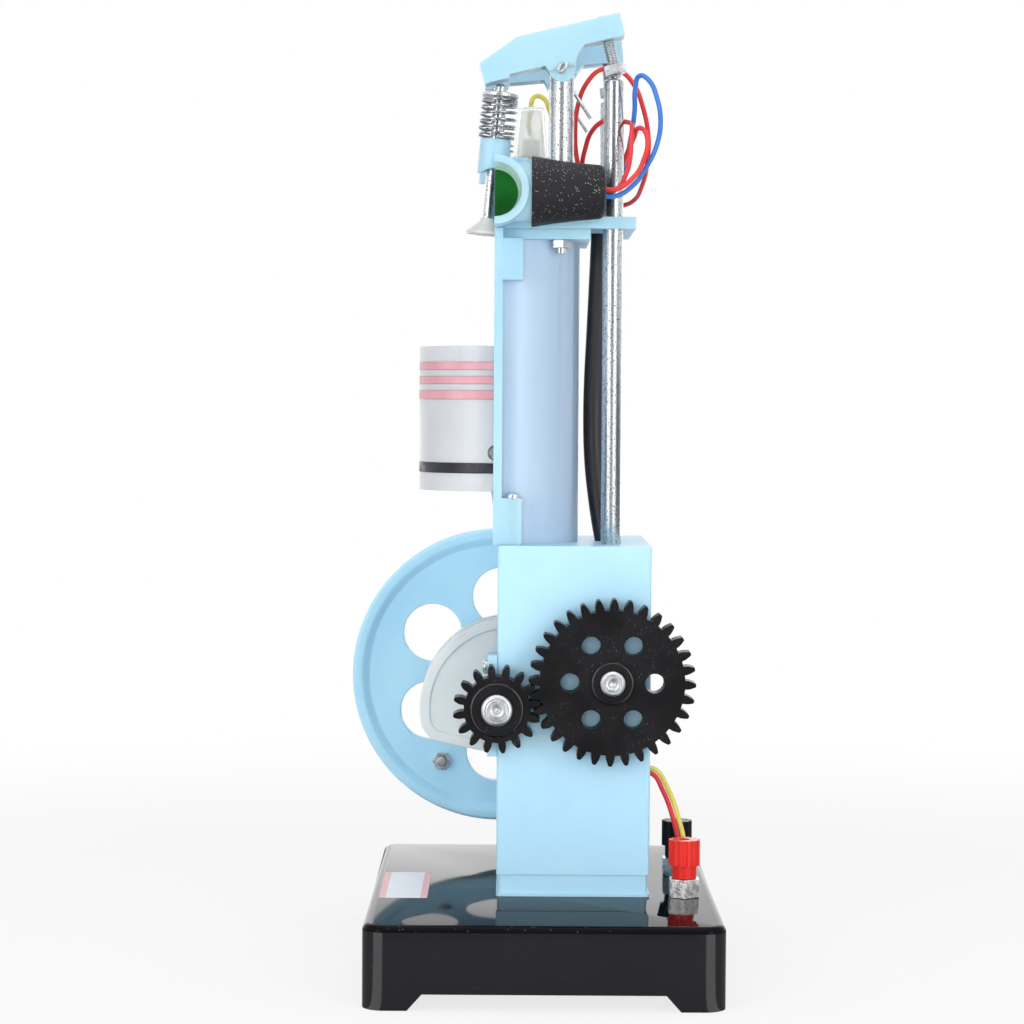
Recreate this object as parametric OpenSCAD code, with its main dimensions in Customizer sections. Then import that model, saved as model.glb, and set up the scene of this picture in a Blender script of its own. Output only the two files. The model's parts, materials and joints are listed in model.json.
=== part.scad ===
// Classroom model of a four-stroke engine, cut open at the front and turned by a hand wheel.
// +Z is up, the open front faces -Y and the gears face +X.

/* [Base] */
// Length of the base tray, along the crankshaft
base_len = 190; // [170:1:220]
// Width of the base tray, front to back
base_wid = 133; // [120:1:150]
// Height of the base tray with its feet
base_h = 31; // [24:1:40]
// Wall of the base tray
base_wall = 3; // [2:0.5:4]
// Radius of the tray's upright corners
base_corner = 8; // [5:0.5:12]
// Rounding of the tray's top edge
base_edge = 2.5; // [1:0.5:4]
// Height of the arches between the feet
foot_h = 6; // [4:0.5:9]
// Length of each foot along an edge
foot_len = 16.6; // [12:0.2:24]
// Run of the slope beside each foot
foot_slope = 5.4; // [3:0.2:8]

/* [Crankcase] */
// Length of the crankcase, along the crankshaft
case_len = 90; // [84:1:110]
// Depth of the crankcase, front plane to back wall
case_depth = 59; // [55:1:66]
// Height of the crankcase above the base
case_h = 135; // [130:1:145]
// Wall of the crankcase
case_wall = 3; // [2:0.5:4]
// Width of the bearing pads inside the side walls
pad_wid = 14; // [10:0.5:16]
// Height of the bearing pads and caps
pad_h = 39; // [34:0.5:44]
// How far a bearing cap stands in front of the crankcase
cap_deep = 3.7; // [3:0.1:5]
// Engine centre, counted along the base from its middle
engine_dx = -12; // [-16:1:-6]
// Front plane, counted across the base from its middle
front_dy = -18; // [-22:1:-14]

/* [Crank] */
// Height of the crankshaft
crank_z = 104.4; // [100:0.2:108]
// Throw of the crank
crank_r = 22; // [19:0.5:22]
// Length of the connecting rod between its bores
rod_len = 113; // [111:0.5:116]
// Diameter of the crankshaft
crank_d = 12; // [10:0.2:13]
// Crank angle after top dead centre as it stands
crank_angle = 132; // [110:1:150]
// Radius of the counterweight
web_r = 36; // [32:0.5:38]
// Thickness of a crank web
web_t = 6; // [5:0.5:7]
// Gap between the two crank webs
web_gap = 12; // [11:0.5:14]

/* [Gears] */
// Teeth of the crank pinion
pinion_teeth = 16; // [15:1:17]
// Module of both gears
gear_mod = 1.875; // [1.8:0.025:1.95]
// Width of both gears
gear_w = 10; // [8:0.5:12]
// Slope of the line from the crankshaft to the camshaft
mesh_angle = 13.3; // [9:0.01:15]
// Angle of the cam gear's first tooth as it stands
gear_phase = 10; // [0:0.25:11]
// Diameter of the camshaft
cam_d = 9.6; // [8:0.2:10]

/* [Flywheel] */
// Radius of the flywheel
fly_r = 62.4; // [56:0.2:66]
// Thickness of the flywheel's rim
fly_t = 12; // [10:0.5:14]
// Thickness of the flywheel's web
fly_web = 6; // [4:0.5:8]
// Distance of the flywheel's inner face from the crankcase
fly_gap = 32; // [28:0.5:36]
// Diameter of the six holes
fly_hole_d = 24.8; // [20:0.2:27]
// Radius of the circle that the holes lie on
fly_hole_r = 33.4; // [31:0.2:35]
// Radius at which the handle sits
handle_r = 44.4; // [43:0.2:46]
// Length of the handle's grip
grip_len = 32; // [26:1:40]
// Diameter of the handle's grip
grip_d = 13; // [11:0.5:16]

/* [Cylinder and piston] */
// Bore of the cylinder
bore_d = 62; // [60:0.5:64]
// Wall of the cylinder
cyl_wall = 1.8; // [1.5:0.1:2.2]
// Height of the cylinder
cyl_h = 122; // [121:0.5:126]
// Width of the front flange strip on each side
strip_wid = 7.5; // [7:0.5:9]
// Thickness of the front flange strip
strip_t = 3.3; // [2.5:0.1:4]
// Height of the piston
piston_h = 56.5; // [52:0.5:57]
// Height of the wrist pin above the piston's skirt
wrist_up = 15; // [13:0.5:18]
// Diameter of the wrist pin
wrist_d = 6; // [5:0.5:8]
// Gap between piston and bore
piston_gap = 0.5; // [0.4:0.05:0.6]

/* [Head] */
// Thickness of the head plate
plate_t = 4.5; // [4:0.1:5]
// Reach of the head plate behind its front plane
plate_deep = 54.4; // [53:0.2:58]
// Height of the port centre above the head plate
port_up = 8.6; // [8.4:0.1:10.5]
// Outer diameter of a port
port_d = 26; // [24:0.2:26]
// Wall of a port
port_wall = 2.8; // [2.4:0.1:3.2]
// Offset of valves, posts and push rods from the engine centre
valve_dx = 27; // [26.5:0.1:28]
// Offset of the lamp boots from the engine centre
boot_dx = 46.6; // [46:0.2:50]
// Length of a lamp boot
boot_len = 28; // [27:0.5:31]
// Large diameter of a lamp boot
boot_d1 = 26.8; // [26:0.2:27]
// Small diameter of a lamp boot
boot_d2 = 20.5; // [18:0.5:22]

/* [Valve gear] */
// Diameter of a valve stem
stem_d = 4.8; // [4:0.2:5]
// Diameter of a valve head
valve_d = 16; // [12:0.5:17]
// Lean of the valves, foot forwards
valve_lean = 5.1; // [4:0.1:6]
// Height of the rocker pivots above the head plate's top
pivot_up = 56.8; // [56.5:0.1:60]
// Distance of the rocker pivots behind the head's front plane
pivot_back = 25.6; // [25:0.1:26.2]
// Width of a rocker
rocker_wid = 14; // [13.5:0.1:15]
// Diameter of the rocker posts
post_d = 9.6; // [8.8:0.1:9.8]
// Diameter of the push rods
push_d = 7.8; // [7:0.1:8]
// Tilt of the near rocker, whose valve stands open
tilt_near = 13.5; // [13:0.1:14]
// Tilt of the far rocker, whose valve is shut
tilt_far = 5.5; // [5:0.1:6]
// Wire of a valve spring
spring_wire = 1; // [0.8:0.1:1.2]
// Outer diameter of a valve spring
spring_d = 14.5; // [13:0.5:15]
// Curls of a valve spring
spring_curls = 6.5; // [5:0.5:7]

/* [Terminals and wires] */
// Distance between the two terminals
terminal_step = 49; // [44:1:60]
// Distance of the terminals from the base's back edge
terminal_in = 12; // [10:0.5:13]
// Diameter of a terminal cap
cap_d = 12.2; // [11:0.2:13]
// Diameter of a lamp wire
wire_d = 1.9; // [1.6:0.1:2]
// Diameter of the sleeve round the wires
sleeve_d = 8.2; // [7.6:0.1:8.4]

/* [Fits] */
// Running gap round shafts and pins
run_fit = 0.05; // [0.03:0.01:0.09]
// Gap round pieces that are set in place
seat_fit = 0.05; // [0.03:0.01:0.09]
// Gap between pieces that move past each other
free_gap = 0.4; // [0.3:0.05:0.5]

/* [Hidden] */
$fn = 64;

// Trade sizes of the fasteners: shank radius, radius over the nut's corners, nut thickness
m3_r = 1.5;
m3_nut_r = 3.18;
m3_nut_t = 2.4;
m4_r = 2;
m4_nut_r = 4.04;
m4_nut_t = 3.2;
m5_r = 2.5;
m5_nut_r = 4.8;
m5_nut_t = 4;
screw_head_r = 2.8;
screw_head_t = 2;
bolt_head_r = 3.6;
bolt_head_t = 2.6;

// Colours of the materials
sky = "#bee9ff";
steel = "#b9bcc0";
ink = "#1c1a1e";

// Places along the crankshaft
gear_gap = 3;
shaft_past_gear = 4;
fly_out = case_len / 2 + fly_gap + fly_t;
handle_reach = fly_out + grip_len + 2 * free_gap + bolt_head_t;
base_x = (handle_reach - engine_dx - base_len / 2) / 2;
xc = base_x + engine_dx;
case_near = xc + case_len / 2;
case_far = xc - case_len / 2;
gear_x = case_near + gear_gap;
shaft_end_x = gear_x + gear_w + shaft_past_gear;
fly_x = xc - fly_out;

// Places across the base
base_y = (fly_r - front_dy - base_wid / 2) / 2;
front_y = base_y + front_dy;
head_front = 2;
head_y = front_y - head_front;
bore_front = 1.2;
bore_y = front_y - bore_front;
case_back = front_y + case_depth;
gear_teeth = 2 * pinion_teeth;
gear_dist = gear_mod * (pinion_teeth + gear_teeth) / 2;
cam_y = front_y + gear_dist * cos(mesh_angle);
cam_z = crank_z + gear_dist * sin(mesh_angle);
pivot_y = head_y + pivot_back;

// Heights
case_top = base_h + case_h;
plate_z = case_top + cyl_h;
plate_top = plate_z + plate_t;
port_z = plate_top + port_up;
pivot_z = plate_top + pivot_up;
block_top = port_z + port_d / 2 + 1;
pin_dir = 90 - crank_angle;
pin_back = crank_r * sin(crank_angle) + bore_front;
wrist_z = crank_z + crank_r * cos(crank_angle) + sqrt(rod_len ^ 2 - pin_back ^ 2);
rod_lean = asin(pin_back / rod_len);
skirt_z = wrist_z - wrist_up;

// Turns a flat shape so that its x runs along Y, its y up and its thickness along X
module along_x() rotate([90, 0, 90]) children();

// Rectangle with round corners, centred
module round_rect(l, w, r) {
    square([l - 2 * r, w], center = true);
    square([l, w - 2 * r], center = true);
    for (sx = [-1, 1], sy = [-1, 1]) translate([sx * (l / 2 - r), sy * (w / 2 - r)]) circle(r);
}

// Hexagon nut or head standing on z = 0
module hex(r, t) cylinder(r = r, h = t, $fn = 6);

// Arch between two feet of an edge of length l
module foot_arch(l) {
    half = l / 2 - foot_len;
    polygon([[-half, -1], [-half, 0], [-half + foot_slope, foot_h],
        [half - foot_slope, foot_h], [half, 0], [half, -1]]);
}

// Places of the four screws that hold the crankcase to the base
case_screw_in = 9;
module at_case_screws() for (sx = [-1, 1], y = [front_y + case_screw_in, case_back - case_screw_in])
    translate([xc + sx * (case_len / 2 - case_screw_in), y, 0]) children();

// Places of the two terminals, the red one first
terminal_clear = 1;
terminal_y = max(base_y + base_wid / 2 - terminal_in, case_back + cap_d / 2 + terminal_clear);
red_terminal_dx = 43;
red_terminal_x = xc + red_terminal_dx;
module at_terminals() for (k = [0, 1])
    translate([red_terminal_x - k * terminal_step, terminal_y, base_h]) children();
stud_r = m3_r;
stud_down = 9;

// Hole for the two supply wires in the base's top, and in the crankcase's back wall
supply_dx = 30;
supply_x = xc + supply_dx;
supply_hole_r = 2.6;
supply_up = 47;
supply_out_z = base_h + supply_up;
supply_in_y = terminal_y + 1;

module base() color("#28282c") difference() {
    translate([base_x, base_y, 0]) hull() for (sx = [-1, 1], sy = [-1, 1])
        translate([sx * (base_len / 2 - base_corner), sy * (base_wid / 2 - base_corner), 0])
            rotate_extrude($fn = 32) {
                square([base_corner - base_edge, base_h]);
                square([base_corner, base_h - base_edge]);
                translate([base_corner - base_edge, base_h - base_edge])
                    intersection() { circle(base_edge, $fn = 24); square(base_edge); }
            }
    translate([base_x, base_y, -1]) linear_extrude(base_h - base_wall + 1)
        round_rect(base_len - 2 * base_wall, base_wid - 2 * base_wall, base_corner - base_wall);
    translate([base_x, base_y, 0]) along_x()
        translate([0, 0, -base_len / 2 - 1]) linear_extrude(base_len + 2) foot_arch(base_wid);
    translate([base_x, base_y + base_wid / 2 + 1, 0]) rotate([90, 0, 0])
        linear_extrude(base_wid + 2) foot_arch(base_len);
    at_case_screws() cylinder(r = m3_r + seat_fit, h = base_h + 1);
    at_terminals() translate([0, 0, -base_h]) cylinder(r = stud_r + seat_fit, h = base_h + 1);
    translate([supply_x, supply_in_y, 0]) cylinder(r = supply_hole_r, h = base_h + 1);
}

// Plan of the crankcase, drawn in from its outline by an inset
case_corner = 1.5;
module case_plan(inset) translate([xc, front_y + case_depth / 2])
    round_rect(case_len - 2 * inset, case_depth - 2 * inset, case_corner);

// Foot of the crankcase: a thin lip, a band that steps in, then the walls
lip_h = 1.2;
band_h = 8.4;
band_inset = 0.8;
case_floor = 3;
cam_boss_r = 8;
cam_boss_len = 6;
pad_deep = 12;
rod_slot = 20;
rod_slot_deep = bore_d / 2 - 6;
sleeve_foot_back = 45;
sleeve_foot_y = head_y + sleeve_foot_back;

module crankcase() color(sky) difference() {
    union() {
        difference() {
            union() {
                translate([0, 0, base_h]) linear_extrude(lip_h) case_plan(0);
                translate([0, 0, base_h + lip_h]) linear_extrude(band_h - lip_h) case_plan(band_inset);
                translate([0, 0, base_h + band_h]) linear_extrude(case_h - band_h) case_plan(0);
            }
            translate([case_far + case_wall, front_y - 1, base_h + case_floor])
                cube([case_len - 2 * case_wall, case_depth - case_wall + 1,
                    case_h - case_floor - case_wall]);
        }
        for (x = [case_far + case_wall / 2, case_near - pad_wid])
            translate([x, front_y, crank_z - pad_h / 2]) cube([pad_wid - case_wall / 2, pad_deep, pad_h]);
        for (x = [case_far + case_wall / 2, case_near - case_wall / 2 - cam_boss_len])
            translate([x, cam_y, cam_z]) along_x() cylinder(r = cam_boss_r, h = cam_boss_len);
    }
    translate([case_far - 1, front_y, crank_z]) along_x()
        cylinder(r = crank_d / 2 + run_fit, h = case_len + 2);
    translate([case_far - 1, cam_y, cam_z]) along_x()
        cylinder(r = cam_d / 2 + run_fit, h = case_len + 2);
    translate([xc - rod_slot / 2, front_y - 1, case_top - case_wall - 1])
        cube([rod_slot, rod_slot_deep + 1, case_wall + 2]);
    for (s = [-1, 1]) translate([xc + s * valve_dx, cam_y, case_top - case_wall - 1])
        cylinder(r = push_d / 2 + run_fit, h = case_wall + 2);
    translate([xc, sleeve_foot_y, case_top - case_wall - 1])
        cylinder(r = sleeve_d / 2 + 2 * free_gap, h = case_wall + 2);
    at_cylinder_screws() translate([0, 0, -cyl_screw_len])
        cylinder(r = m3_r + seat_fit, h = 2 * cyl_screw_len);
    at_case_screws() cylinder(r = m3_r + seat_fit, h = base_h + case_floor + 1);
    at_cap_screws() cylinder(r = m3_r + seat_fit, h = 2 * cap_screw_len, center = true);
    translate([supply_x, case_back + 1, supply_out_z]) rotate([90, 0, 0])
        cylinder(r = supply_hole_r, h = case_wall + 2);
}

// Screws up through the base into the crankcase's floor
module case_screws() color(steel) at_case_screws() {
    translate([0, 0, base_h - base_wall - screw_head_t]) cylinder(r = screw_head_r, h = screw_head_t);
    translate([0, 0, base_h - base_wall]) cylinder(r = m3_r, h = base_wall + case_floor);
}

// Places of the bearing caps' screws, above and below the crankshaft
cap_screw_len = 10;
cap_screw_dz = pad_h / 2 - 5;
module at_cap_screws() for (x = [case_near - pad_wid / 2, case_far + pad_wid / 2], s = [-1, 1])
    translate([x, front_y, crank_z + s * cap_screw_dz]) rotate([-90, 0, 0]) children();

cap_bulge = 4.5;
module bearing_cap(x) color(sky) translate([x, front_y, crank_z]) difference() {
    union() {
        translate([0, -cap_deep, -pad_h / 2]) cube([pad_wid, cap_deep, pad_h]);
        intersection() {
            along_x() cylinder(r = crank_d / 2 + cap_bulge, h = pad_wid);
            translate([0, -crank_d, -crank_d]) cube([pad_wid, crank_d, 2 * crank_d]);
        }
    }
    translate([-1, 0, 0]) along_x() cylinder(r = crank_d / 2 + run_fit, h = pad_wid + 2);
    for (s = [-1, 1]) translate([pad_wid / 2, 1, s * cap_screw_dz]) rotate([90, 0, 0])
        cylinder(r = m3_r + seat_fit, h = cap_deep + 2);
}
module bearing_cap_near() bearing_cap(case_near - pad_wid);
module bearing_cap_far() bearing_cap(case_far);

module cap_screws() color(steel) at_cap_screws() {
    translate([0, 0, -cap_deep - screw_head_t]) cylinder(r = screw_head_r, h = screw_head_t);
    translate([0, 0, -cap_deep]) cylinder(r = m3_r, h = cap_deep + cap_screw_len - 1);
}

// Turned shaft along X with a bevelled, centre-drilled end at each side that is named
shaft_bevel = 0.8;
drill_r = 2;
module shaft(r, x0, x1, y, z, drill_low, drill_high) translate([x0, y, z]) along_x() difference() {
    union() {
        cylinder(r1 = r - shaft_bevel, r2 = r, h = shaft_bevel);
        translate([0, 0, shaft_bevel]) cylinder(r = r, h = x1 - x0 - 2 * shaft_bevel);
        translate([0, 0, x1 - x0 - shaft_bevel]) cylinder(r1 = r, r2 = r - shaft_bevel, h = shaft_bevel);
    }
    mouth = drill_r + 0.5;
    if (drill_high) translate([0, 0, x1 - x0 - drill_r]) cylinder(r1 = 0, r2 = mouth, h = mouth);
    if (drill_low) translate([0, 0, drill_r - mouth]) cylinder(r1 = mouth, r2 = 0, h = mouth);
}
fly_hub_out = 5;
module crank_stub_near() color(steel)
    shaft(crank_d / 2, xc + web_gap / 2, shaft_end_x, front_y, crank_z, false, true);
module crank_stub_far() color(steel)
    shaft(crank_d / 2, fly_x + 1, xc - web_gap / 2, front_y, crank_z, true, false);

// Outline of a crank web, pin along +x, drawn in by an inset
web_shift = 7;
web_corner = 10;
web_fan = 50;
web_pin_end = 11;
web_rim = 4;
web_recess = 1;
web_hub = 10;
module web_plan(inset) hull() {
    intersection() {
        translate([web_shift, 0]) circle(web_r - inset, $fn = 72);
        translate([web_shift, 0])
            polygon([[0, 0], for (s = [-1, 1]) 2 * web_r * [-cos(web_fan), s * sin(web_fan)]]);
    }
    for (s = [-1, 1])
        translate([web_shift, 0] + (web_r - web_corner) * [-cos(web_fan), s * sin(web_fan)])
            circle(web_corner - inset, $fn = 32);
    translate([crank_r, 0]) circle(web_pin_end - inset, $fn = 32);
}
module crank_web(x, recess_z) color("#d4dcde") translate([x, front_y, crank_z]) along_x() rotate(pin_dir)
    difference() {
        linear_extrude(web_t) web_plan(0);
        translate([0, 0, recess_z]) linear_extrude(web_recess + 1) difference() {
            web_plan(web_rim);
            circle(web_hub);
            translate([crank_r, 0]) circle(web_pin_end);
        }
        translate([0, 0, -1]) cylinder(r = crank_d / 2 + seat_fit, h = web_t + 2);
    }
module crank_web_near() crank_web(xc + web_gap / 2, web_t - web_recess);
module crank_web_far() crank_web(xc - web_gap / 2 - web_t, -1);

// Involute gear tooth: half its angle at a radius, on a pitch radius
press_angle = 20;
flank_ease = 0.12;
flank_steps = 4;
function involute(a) = tan(a) * 180 / PI - a;
function tooth_half(rho, pitch, teeth) = 90 / teeth - flank_ease / pitch * 180 / PI
    + involute(press_angle) - involute(acos(min(1, pitch * cos(press_angle) / rho)));
module gear_plan(teeth) {
    pitch = gear_mod * teeth / 2;
    root = pitch - 1.25 * gear_mod;
    rise = 2.2 * gear_mod;
    last = 2 * flank_steps + 1;
    polygon([for (k = [0 : teeth - 1], i = [0 : last])
        let (side = i <= flank_steps ? -1 : 1,
            step = i <= flank_steps ? i : last - i,
            rho = root + rise * step / flank_steps,
            a = 360 * k / teeth + side * tooth_half(rho, pitch, teeth))
        rho * [cos(a), sin(a)]]);
}
// The pinion's tooth stands in the gap of the cam gear on the line between the shafts
pinion_phase = mesh_angle
    - gear_teeth / pinion_teeth * (gear_phase + 180 / gear_teeth - 180 - mesh_angle);
gear_back = gear_gap - free_gap;
pinion_boss_r = 10.3;
pinion_boss_up = 1.5;
gear_boss_r = 8.2;
gear_boss_up = 2;
gear_hole_r = 3.7;
gear_hole_at = 16.1;
gear_holes = 6;
module crank_pinion() color(ink) translate([gear_x, front_y, crank_z]) along_x() difference() {
    union() {
        rotate(pinion_phase) linear_extrude(gear_w) gear_plan(pinion_teeth);
        translate([0, 0, -gear_back]) cylinder(r = pinion_boss_r, h = gear_back + 1);
        translate([0, 0, gear_w - 1]) cylinder(r = pinion_boss_r, h = pinion_boss_up + 1);
    }
    translate([0, 0, -gear_gap]) cylinder(r = crank_d / 2 + seat_fit, h = gear_w + 2 * gear_gap);
}
module cam_gear() color(ink) translate([gear_x, cam_y, cam_z]) along_x() difference() {
    union() {
        rotate(gear_phase) linear_extrude(gear_w) gear_plan(gear_teeth);
        translate([0, 0, -gear_back]) cylinder(r = gear_boss_r, h = gear_back + 1);
        translate([0, 0, gear_w - 1]) cylinder(r = gear_boss_r, h = gear_boss_up + 1);
    }
    translate([0, 0, -gear_gap]) cylinder(r = cam_d / 2 + seat_fit, h = gear_w + 2 * gear_gap);
    for (k = [0 : gear_holes - 1]) rotate(k * 360 / gear_holes) translate([gear_hole_at, 0, -1])
        cylinder(r = gear_hole_r, h = gear_w + 2);
}

module camshaft() color(steel)
    shaft(cam_d / 2, case_far - gear_gap, shaft_end_x, cam_y, cam_z, false, true);

// Cam with a round heel and a nose, its nose turned to an angle
cam_heel = 7.5;
cam_lift = 4;
cam_nose = 3.5;
cam_wid = 8;
inlet_nose_at = 90;
exhaust_nose_at = 190;
module cam(s, nose_at) color("#e6e6e2")
    translate([xc + s * valve_dx - cam_wid / 2, cam_y, cam_z]) along_x() difference() {
        rotate(nose_at) linear_extrude(cam_wid) hull() {
            circle(cam_heel);
            translate([cam_heel + cam_lift - cam_nose, 0]) circle(cam_nose, $fn = 32);
        }
        translate([0, 0, -1]) cylinder(r = cam_d / 2 + seat_fit, h = cam_wid + 2);
    }
module inlet_cam() cam(1, inlet_nose_at);
module exhaust_cam() cam(-1, exhaust_nose_at);

// Hand wheel: beveled rim, thin web, hub and a boss for the handle
fly_rim = 4;
fly_bevel = 3;
fly_edge = 1;
fly_hub = 11;
fly_holes = 6;
fly_hole_phase = 28;
handle_at = 237;
handle_boss = 7;
web_low = (fly_t - fly_web) / 2;
web_high = web_low + fly_web;
module at_handle() translate([fly_x, front_y, crank_z]) along_x()
    rotate(handle_at) translate([handle_r, 0, 0]) children();
module flywheel() color("#afe1ff") difference() {
    union() {
        translate([fly_x, front_y, crank_z]) along_x() rotate_extrude($fn = 128) polygon([
            [crank_d / 2 + seat_fit, 0], [fly_hub, 0], [fly_hub, web_low],
            [fly_r - fly_rim - fly_bevel, web_low], [fly_r - fly_rim, 0], [fly_r - fly_edge, 0],
            [fly_r, fly_edge], [fly_r, fly_t - fly_edge], [fly_r - fly_edge, fly_t],
            [fly_r - fly_rim, fly_t], [fly_r - fly_rim - fly_bevel, web_high], [fly_hub, web_high],
            [fly_hub, fly_t + fly_hub_out], [crank_d / 2 + seat_fit, fly_t + fly_hub_out]]);
        at_handle() cylinder(r = handle_boss, h = web_low + 1);
    }
    translate([fly_x, front_y, crank_z]) along_x() for (k = [0 : fly_holes - 1])
        rotate(fly_hole_phase + k * 360 / fly_holes) translate([fly_hole_r, 0, -1])
            cylinder(d = fly_hole_d, h = fly_t + 2);
    at_handle() translate([0, 0, -1]) cylinder(r = m4_r + seat_fit, h = fly_t + 2);
}
grip_out = grip_len + 2 * free_gap;
bolt_past_nut = 2;
module handle_bolt() color(steel) at_handle() {
    translate([0, 0, -grip_out - bolt_head_t]) cylinder(r = bolt_head_r, h = bolt_head_t);
    translate([0, 0, -grip_out]) cylinder(r = m4_r, h = grip_out + web_high + m4_nut_t + bolt_past_nut);
}
module handle_nut() color(steel) at_handle() translate([0, 0, web_high]) difference() {
    hex(m4_nut_r, m4_nut_t);
    translate([0, 0, -1]) cylinder(r = m4_r + seat_fit, h = m4_nut_t + 2);
}
// Barrel-shaped grip that turns on the handle bolt
grip_steps = 8;
grip_draw_in = 1.6;
module handle_grip() color(ink) at_handle() translate([0, 0, -free_gap - grip_len]) difference() {
    rotate_extrude() polygon([[0, 0],
        for (i = [0 : grip_steps]) let (t = i / grip_steps)
            [grip_d / 2 - grip_draw_in * (2 * t - 1) ^ 2, grip_len * t],
        [0, grip_len]]);
    translate([0, 0, -1]) cylinder(r = m4_r + run_fit, h = grip_len + 2);
}

// Connecting rod, drawn with its wrist bore at the origin and its foot along -y
rod_eye = 6.5;
rod_foot = 10;
rod_wid = web_gap - 2;
rod_top_w = 8;
rod_foot_w = 12;
rod_pocket = 2;
rod_edge = 2;
crank_pin_d = 10;
module on_rod(dx) translate([xc + dx, bore_y, wrist_z]) along_x() rotate(rod_lean) children();
module connecting_rod() color(sky) on_rod(-rod_wid / 2) difference() {
    union() {
        cylinder(r = rod_eye, h = rod_wid);
        translate([0, -rod_len, 0]) cylinder(r = rod_foot, h = rod_wid);
        translate([0, 0, rod_edge]) linear_extrude(rod_wid - 2 * rod_edge) polygon([
            [-rod_top_w / 2, 0], [-rod_foot_w / 2, -rod_len],
            [rod_foot_w / 2, -rod_len], [rod_top_w / 2, 0]]);
    }
    for (z = [rod_edge - 1, rod_wid - rod_edge - rod_pocket + 1])
        translate([0, 0, z]) linear_extrude(rod_pocket) polygon([
            [-rod_top_w / 2 + rod_edge, -rod_eye - rod_edge],
            [-rod_foot_w / 2 + rod_edge, -rod_len + rod_foot + rod_edge],
            [rod_foot_w / 2 - rod_edge, -rod_len + rod_foot + rod_edge],
            [rod_top_w / 2 - rod_edge, -rod_eye - rod_edge]]);
    translate([0, 0, -1]) cylinder(r = wrist_d / 2 + run_fit, h = rod_wid + 2);
    translate([0, -rod_len, -1]) cylinder(d = crank_pin_d + 2 * seat_fit, h = rod_wid + 2);
}
module crank_pin() color(steel) on_rod(-web_gap / 2 + free_gap) translate([0, -rod_len, 0])
    cylinder(d = crank_pin_d, h = web_gap - 2 * free_gap);

// Piston with its three ring grooves and the groove of the oil ring
piston_r = bore_d / 2 - piston_gap;
ring_proud = 0.2;
ring_deep = 2;
ring_up = [[35.8, 39.2], [41.7, 44.7], [47.2, 50.2]];
oil_up = [7, 11];
piston_in = 4.5;
crown_t = 5;
boss_r = 6;
boss_in = rod_wid / 2 + 2;
boss_out = piston_r - piston_in / 2;
module ring(span, grow) translate([xc, bore_y, skirt_z + span[0] - grow]) difference() {
    cylinder(r = piston_r + ring_proud + 2 * grow, h = span[1] - span[0] + 2 * grow, $fn = 96);
    translate([0, 0, -1]) cylinder(r = piston_r - ring_deep - grow, h = span[1] - span[0] + 3, $fn = 96);
}
module piston() color("#e4e8f0") difference() {
    union() {
        translate([xc, bore_y, skirt_z]) difference() {
            cylinder(r = piston_r, h = piston_h, $fn = 96);
            translate([0, 0, -1])
                cylinder(r = piston_r - piston_in, h = piston_h - crown_t + 1, $fn = 96);
        }
        for (s = [-1, 1]) translate([xc + s * (boss_in + boss_out) / 2, bore_y, wrist_z]) along_x()
            cylinder(r = boss_r, h = boss_out - boss_in, center = true);
    }
    for (span = concat(ring_up, [oil_up])) ring(span, seat_fit);
    translate([xc - piston_r - 1, bore_y, wrist_z]) along_x()
        cylinder(r = wrist_d / 2 + seat_fit, h = 2 * piston_r + 2);
}
module piston_rings() color("#f5a5aa") for (span = ring_up) ring(span, 0);
module oil_ring() color("#3c374b") ring(oil_up, 0);
wrist_len = 2 * piston_r - 3;
module wrist_pin() color(steel) translate([xc - wrist_len / 2, bore_y, wrist_z]) along_x()
    cylinder(d = wrist_d, h = wrist_len);

// Half cylinder with a flange strip down each cut edge, screw lugs and a top flange
strip_out = bore_d / 2 + strip_wid;
low_lug_h = 18;
top_lug_h = 16;
lug_deep = 9;
lug_in = bore_d / 2 + 0.8;
flange_t = 4;
flange_deep = 35;
flange_half = valve_dx + 6;
cyl_screw_len = 6;
module at_cylinder_screws() for (s = [-1, 1])
    translate([xc + s * (strip_out - screw_head_r), front_y + lug_deep / 2 + 1, case_top]) children();
module cylinder_lug(s, z, h) translate([s > 0 ? xc + lug_in : xc - strip_out, front_y, z])
    cube([strip_out - lug_in, lug_deep, h]);
strip_in = bore_d / 2 - 0.4;
module cylinder_strip(s)
    translate([s > 0 ? xc + strip_in : xc - strip_out, head_y, case_top])
        cube([strip_out - strip_in, strip_t, cyl_h]);
module cylinder_shell() translate([xc, bore_y, case_top]) intersection() {
    cylinder(r = bore_d / 2 + cyl_wall, h = cyl_h, $fn = 96);
    translate([-bore_d, head_y - bore_y, 0]) cube([2 * bore_d, bore_d, cyl_h]);
}
valve_relief = 0.7;
relief_down = 12;
relief_h = 30;
module cut_cylinder() color(sky) difference() {
    union() {
        cylinder_shell();
        for (s = [-1, 1]) {
            cylinder_strip(s);
            cylinder_lug(s, case_top, low_lug_h);
            cylinder_lug(s, plate_z - flange_t - top_lug_h, top_lug_h);
        }
        translate([xc - flange_half, head_y + strip_t, plate_z - flange_t])
            cube([2 * flange_half, flange_deep - strip_t + head_front, flange_t]);
    }
    translate([xc, bore_y, case_top - 1]) cylinder(r = bore_d / 2, h = cyl_h + 2, $fn = 96);
    at_cylinder_screws() translate([0, 0, -1]) cylinder(r = m3_r + seat_fit, h = low_lug_h + 2);
    for (s = [-1, 1]) {
        translate([xc + s * valve_dx, pivot_y, plate_z - flange_t - 1])
            cylinder(r = m4_r + seat_fit, h = flange_t + 2);
        on_valve(s) translate([0, 0, -guide_h - port_d - plate_t - relief_down])
            cylinder(r = valve_d / 2 + valve_relief, h = relief_h);
    }
}
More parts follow.
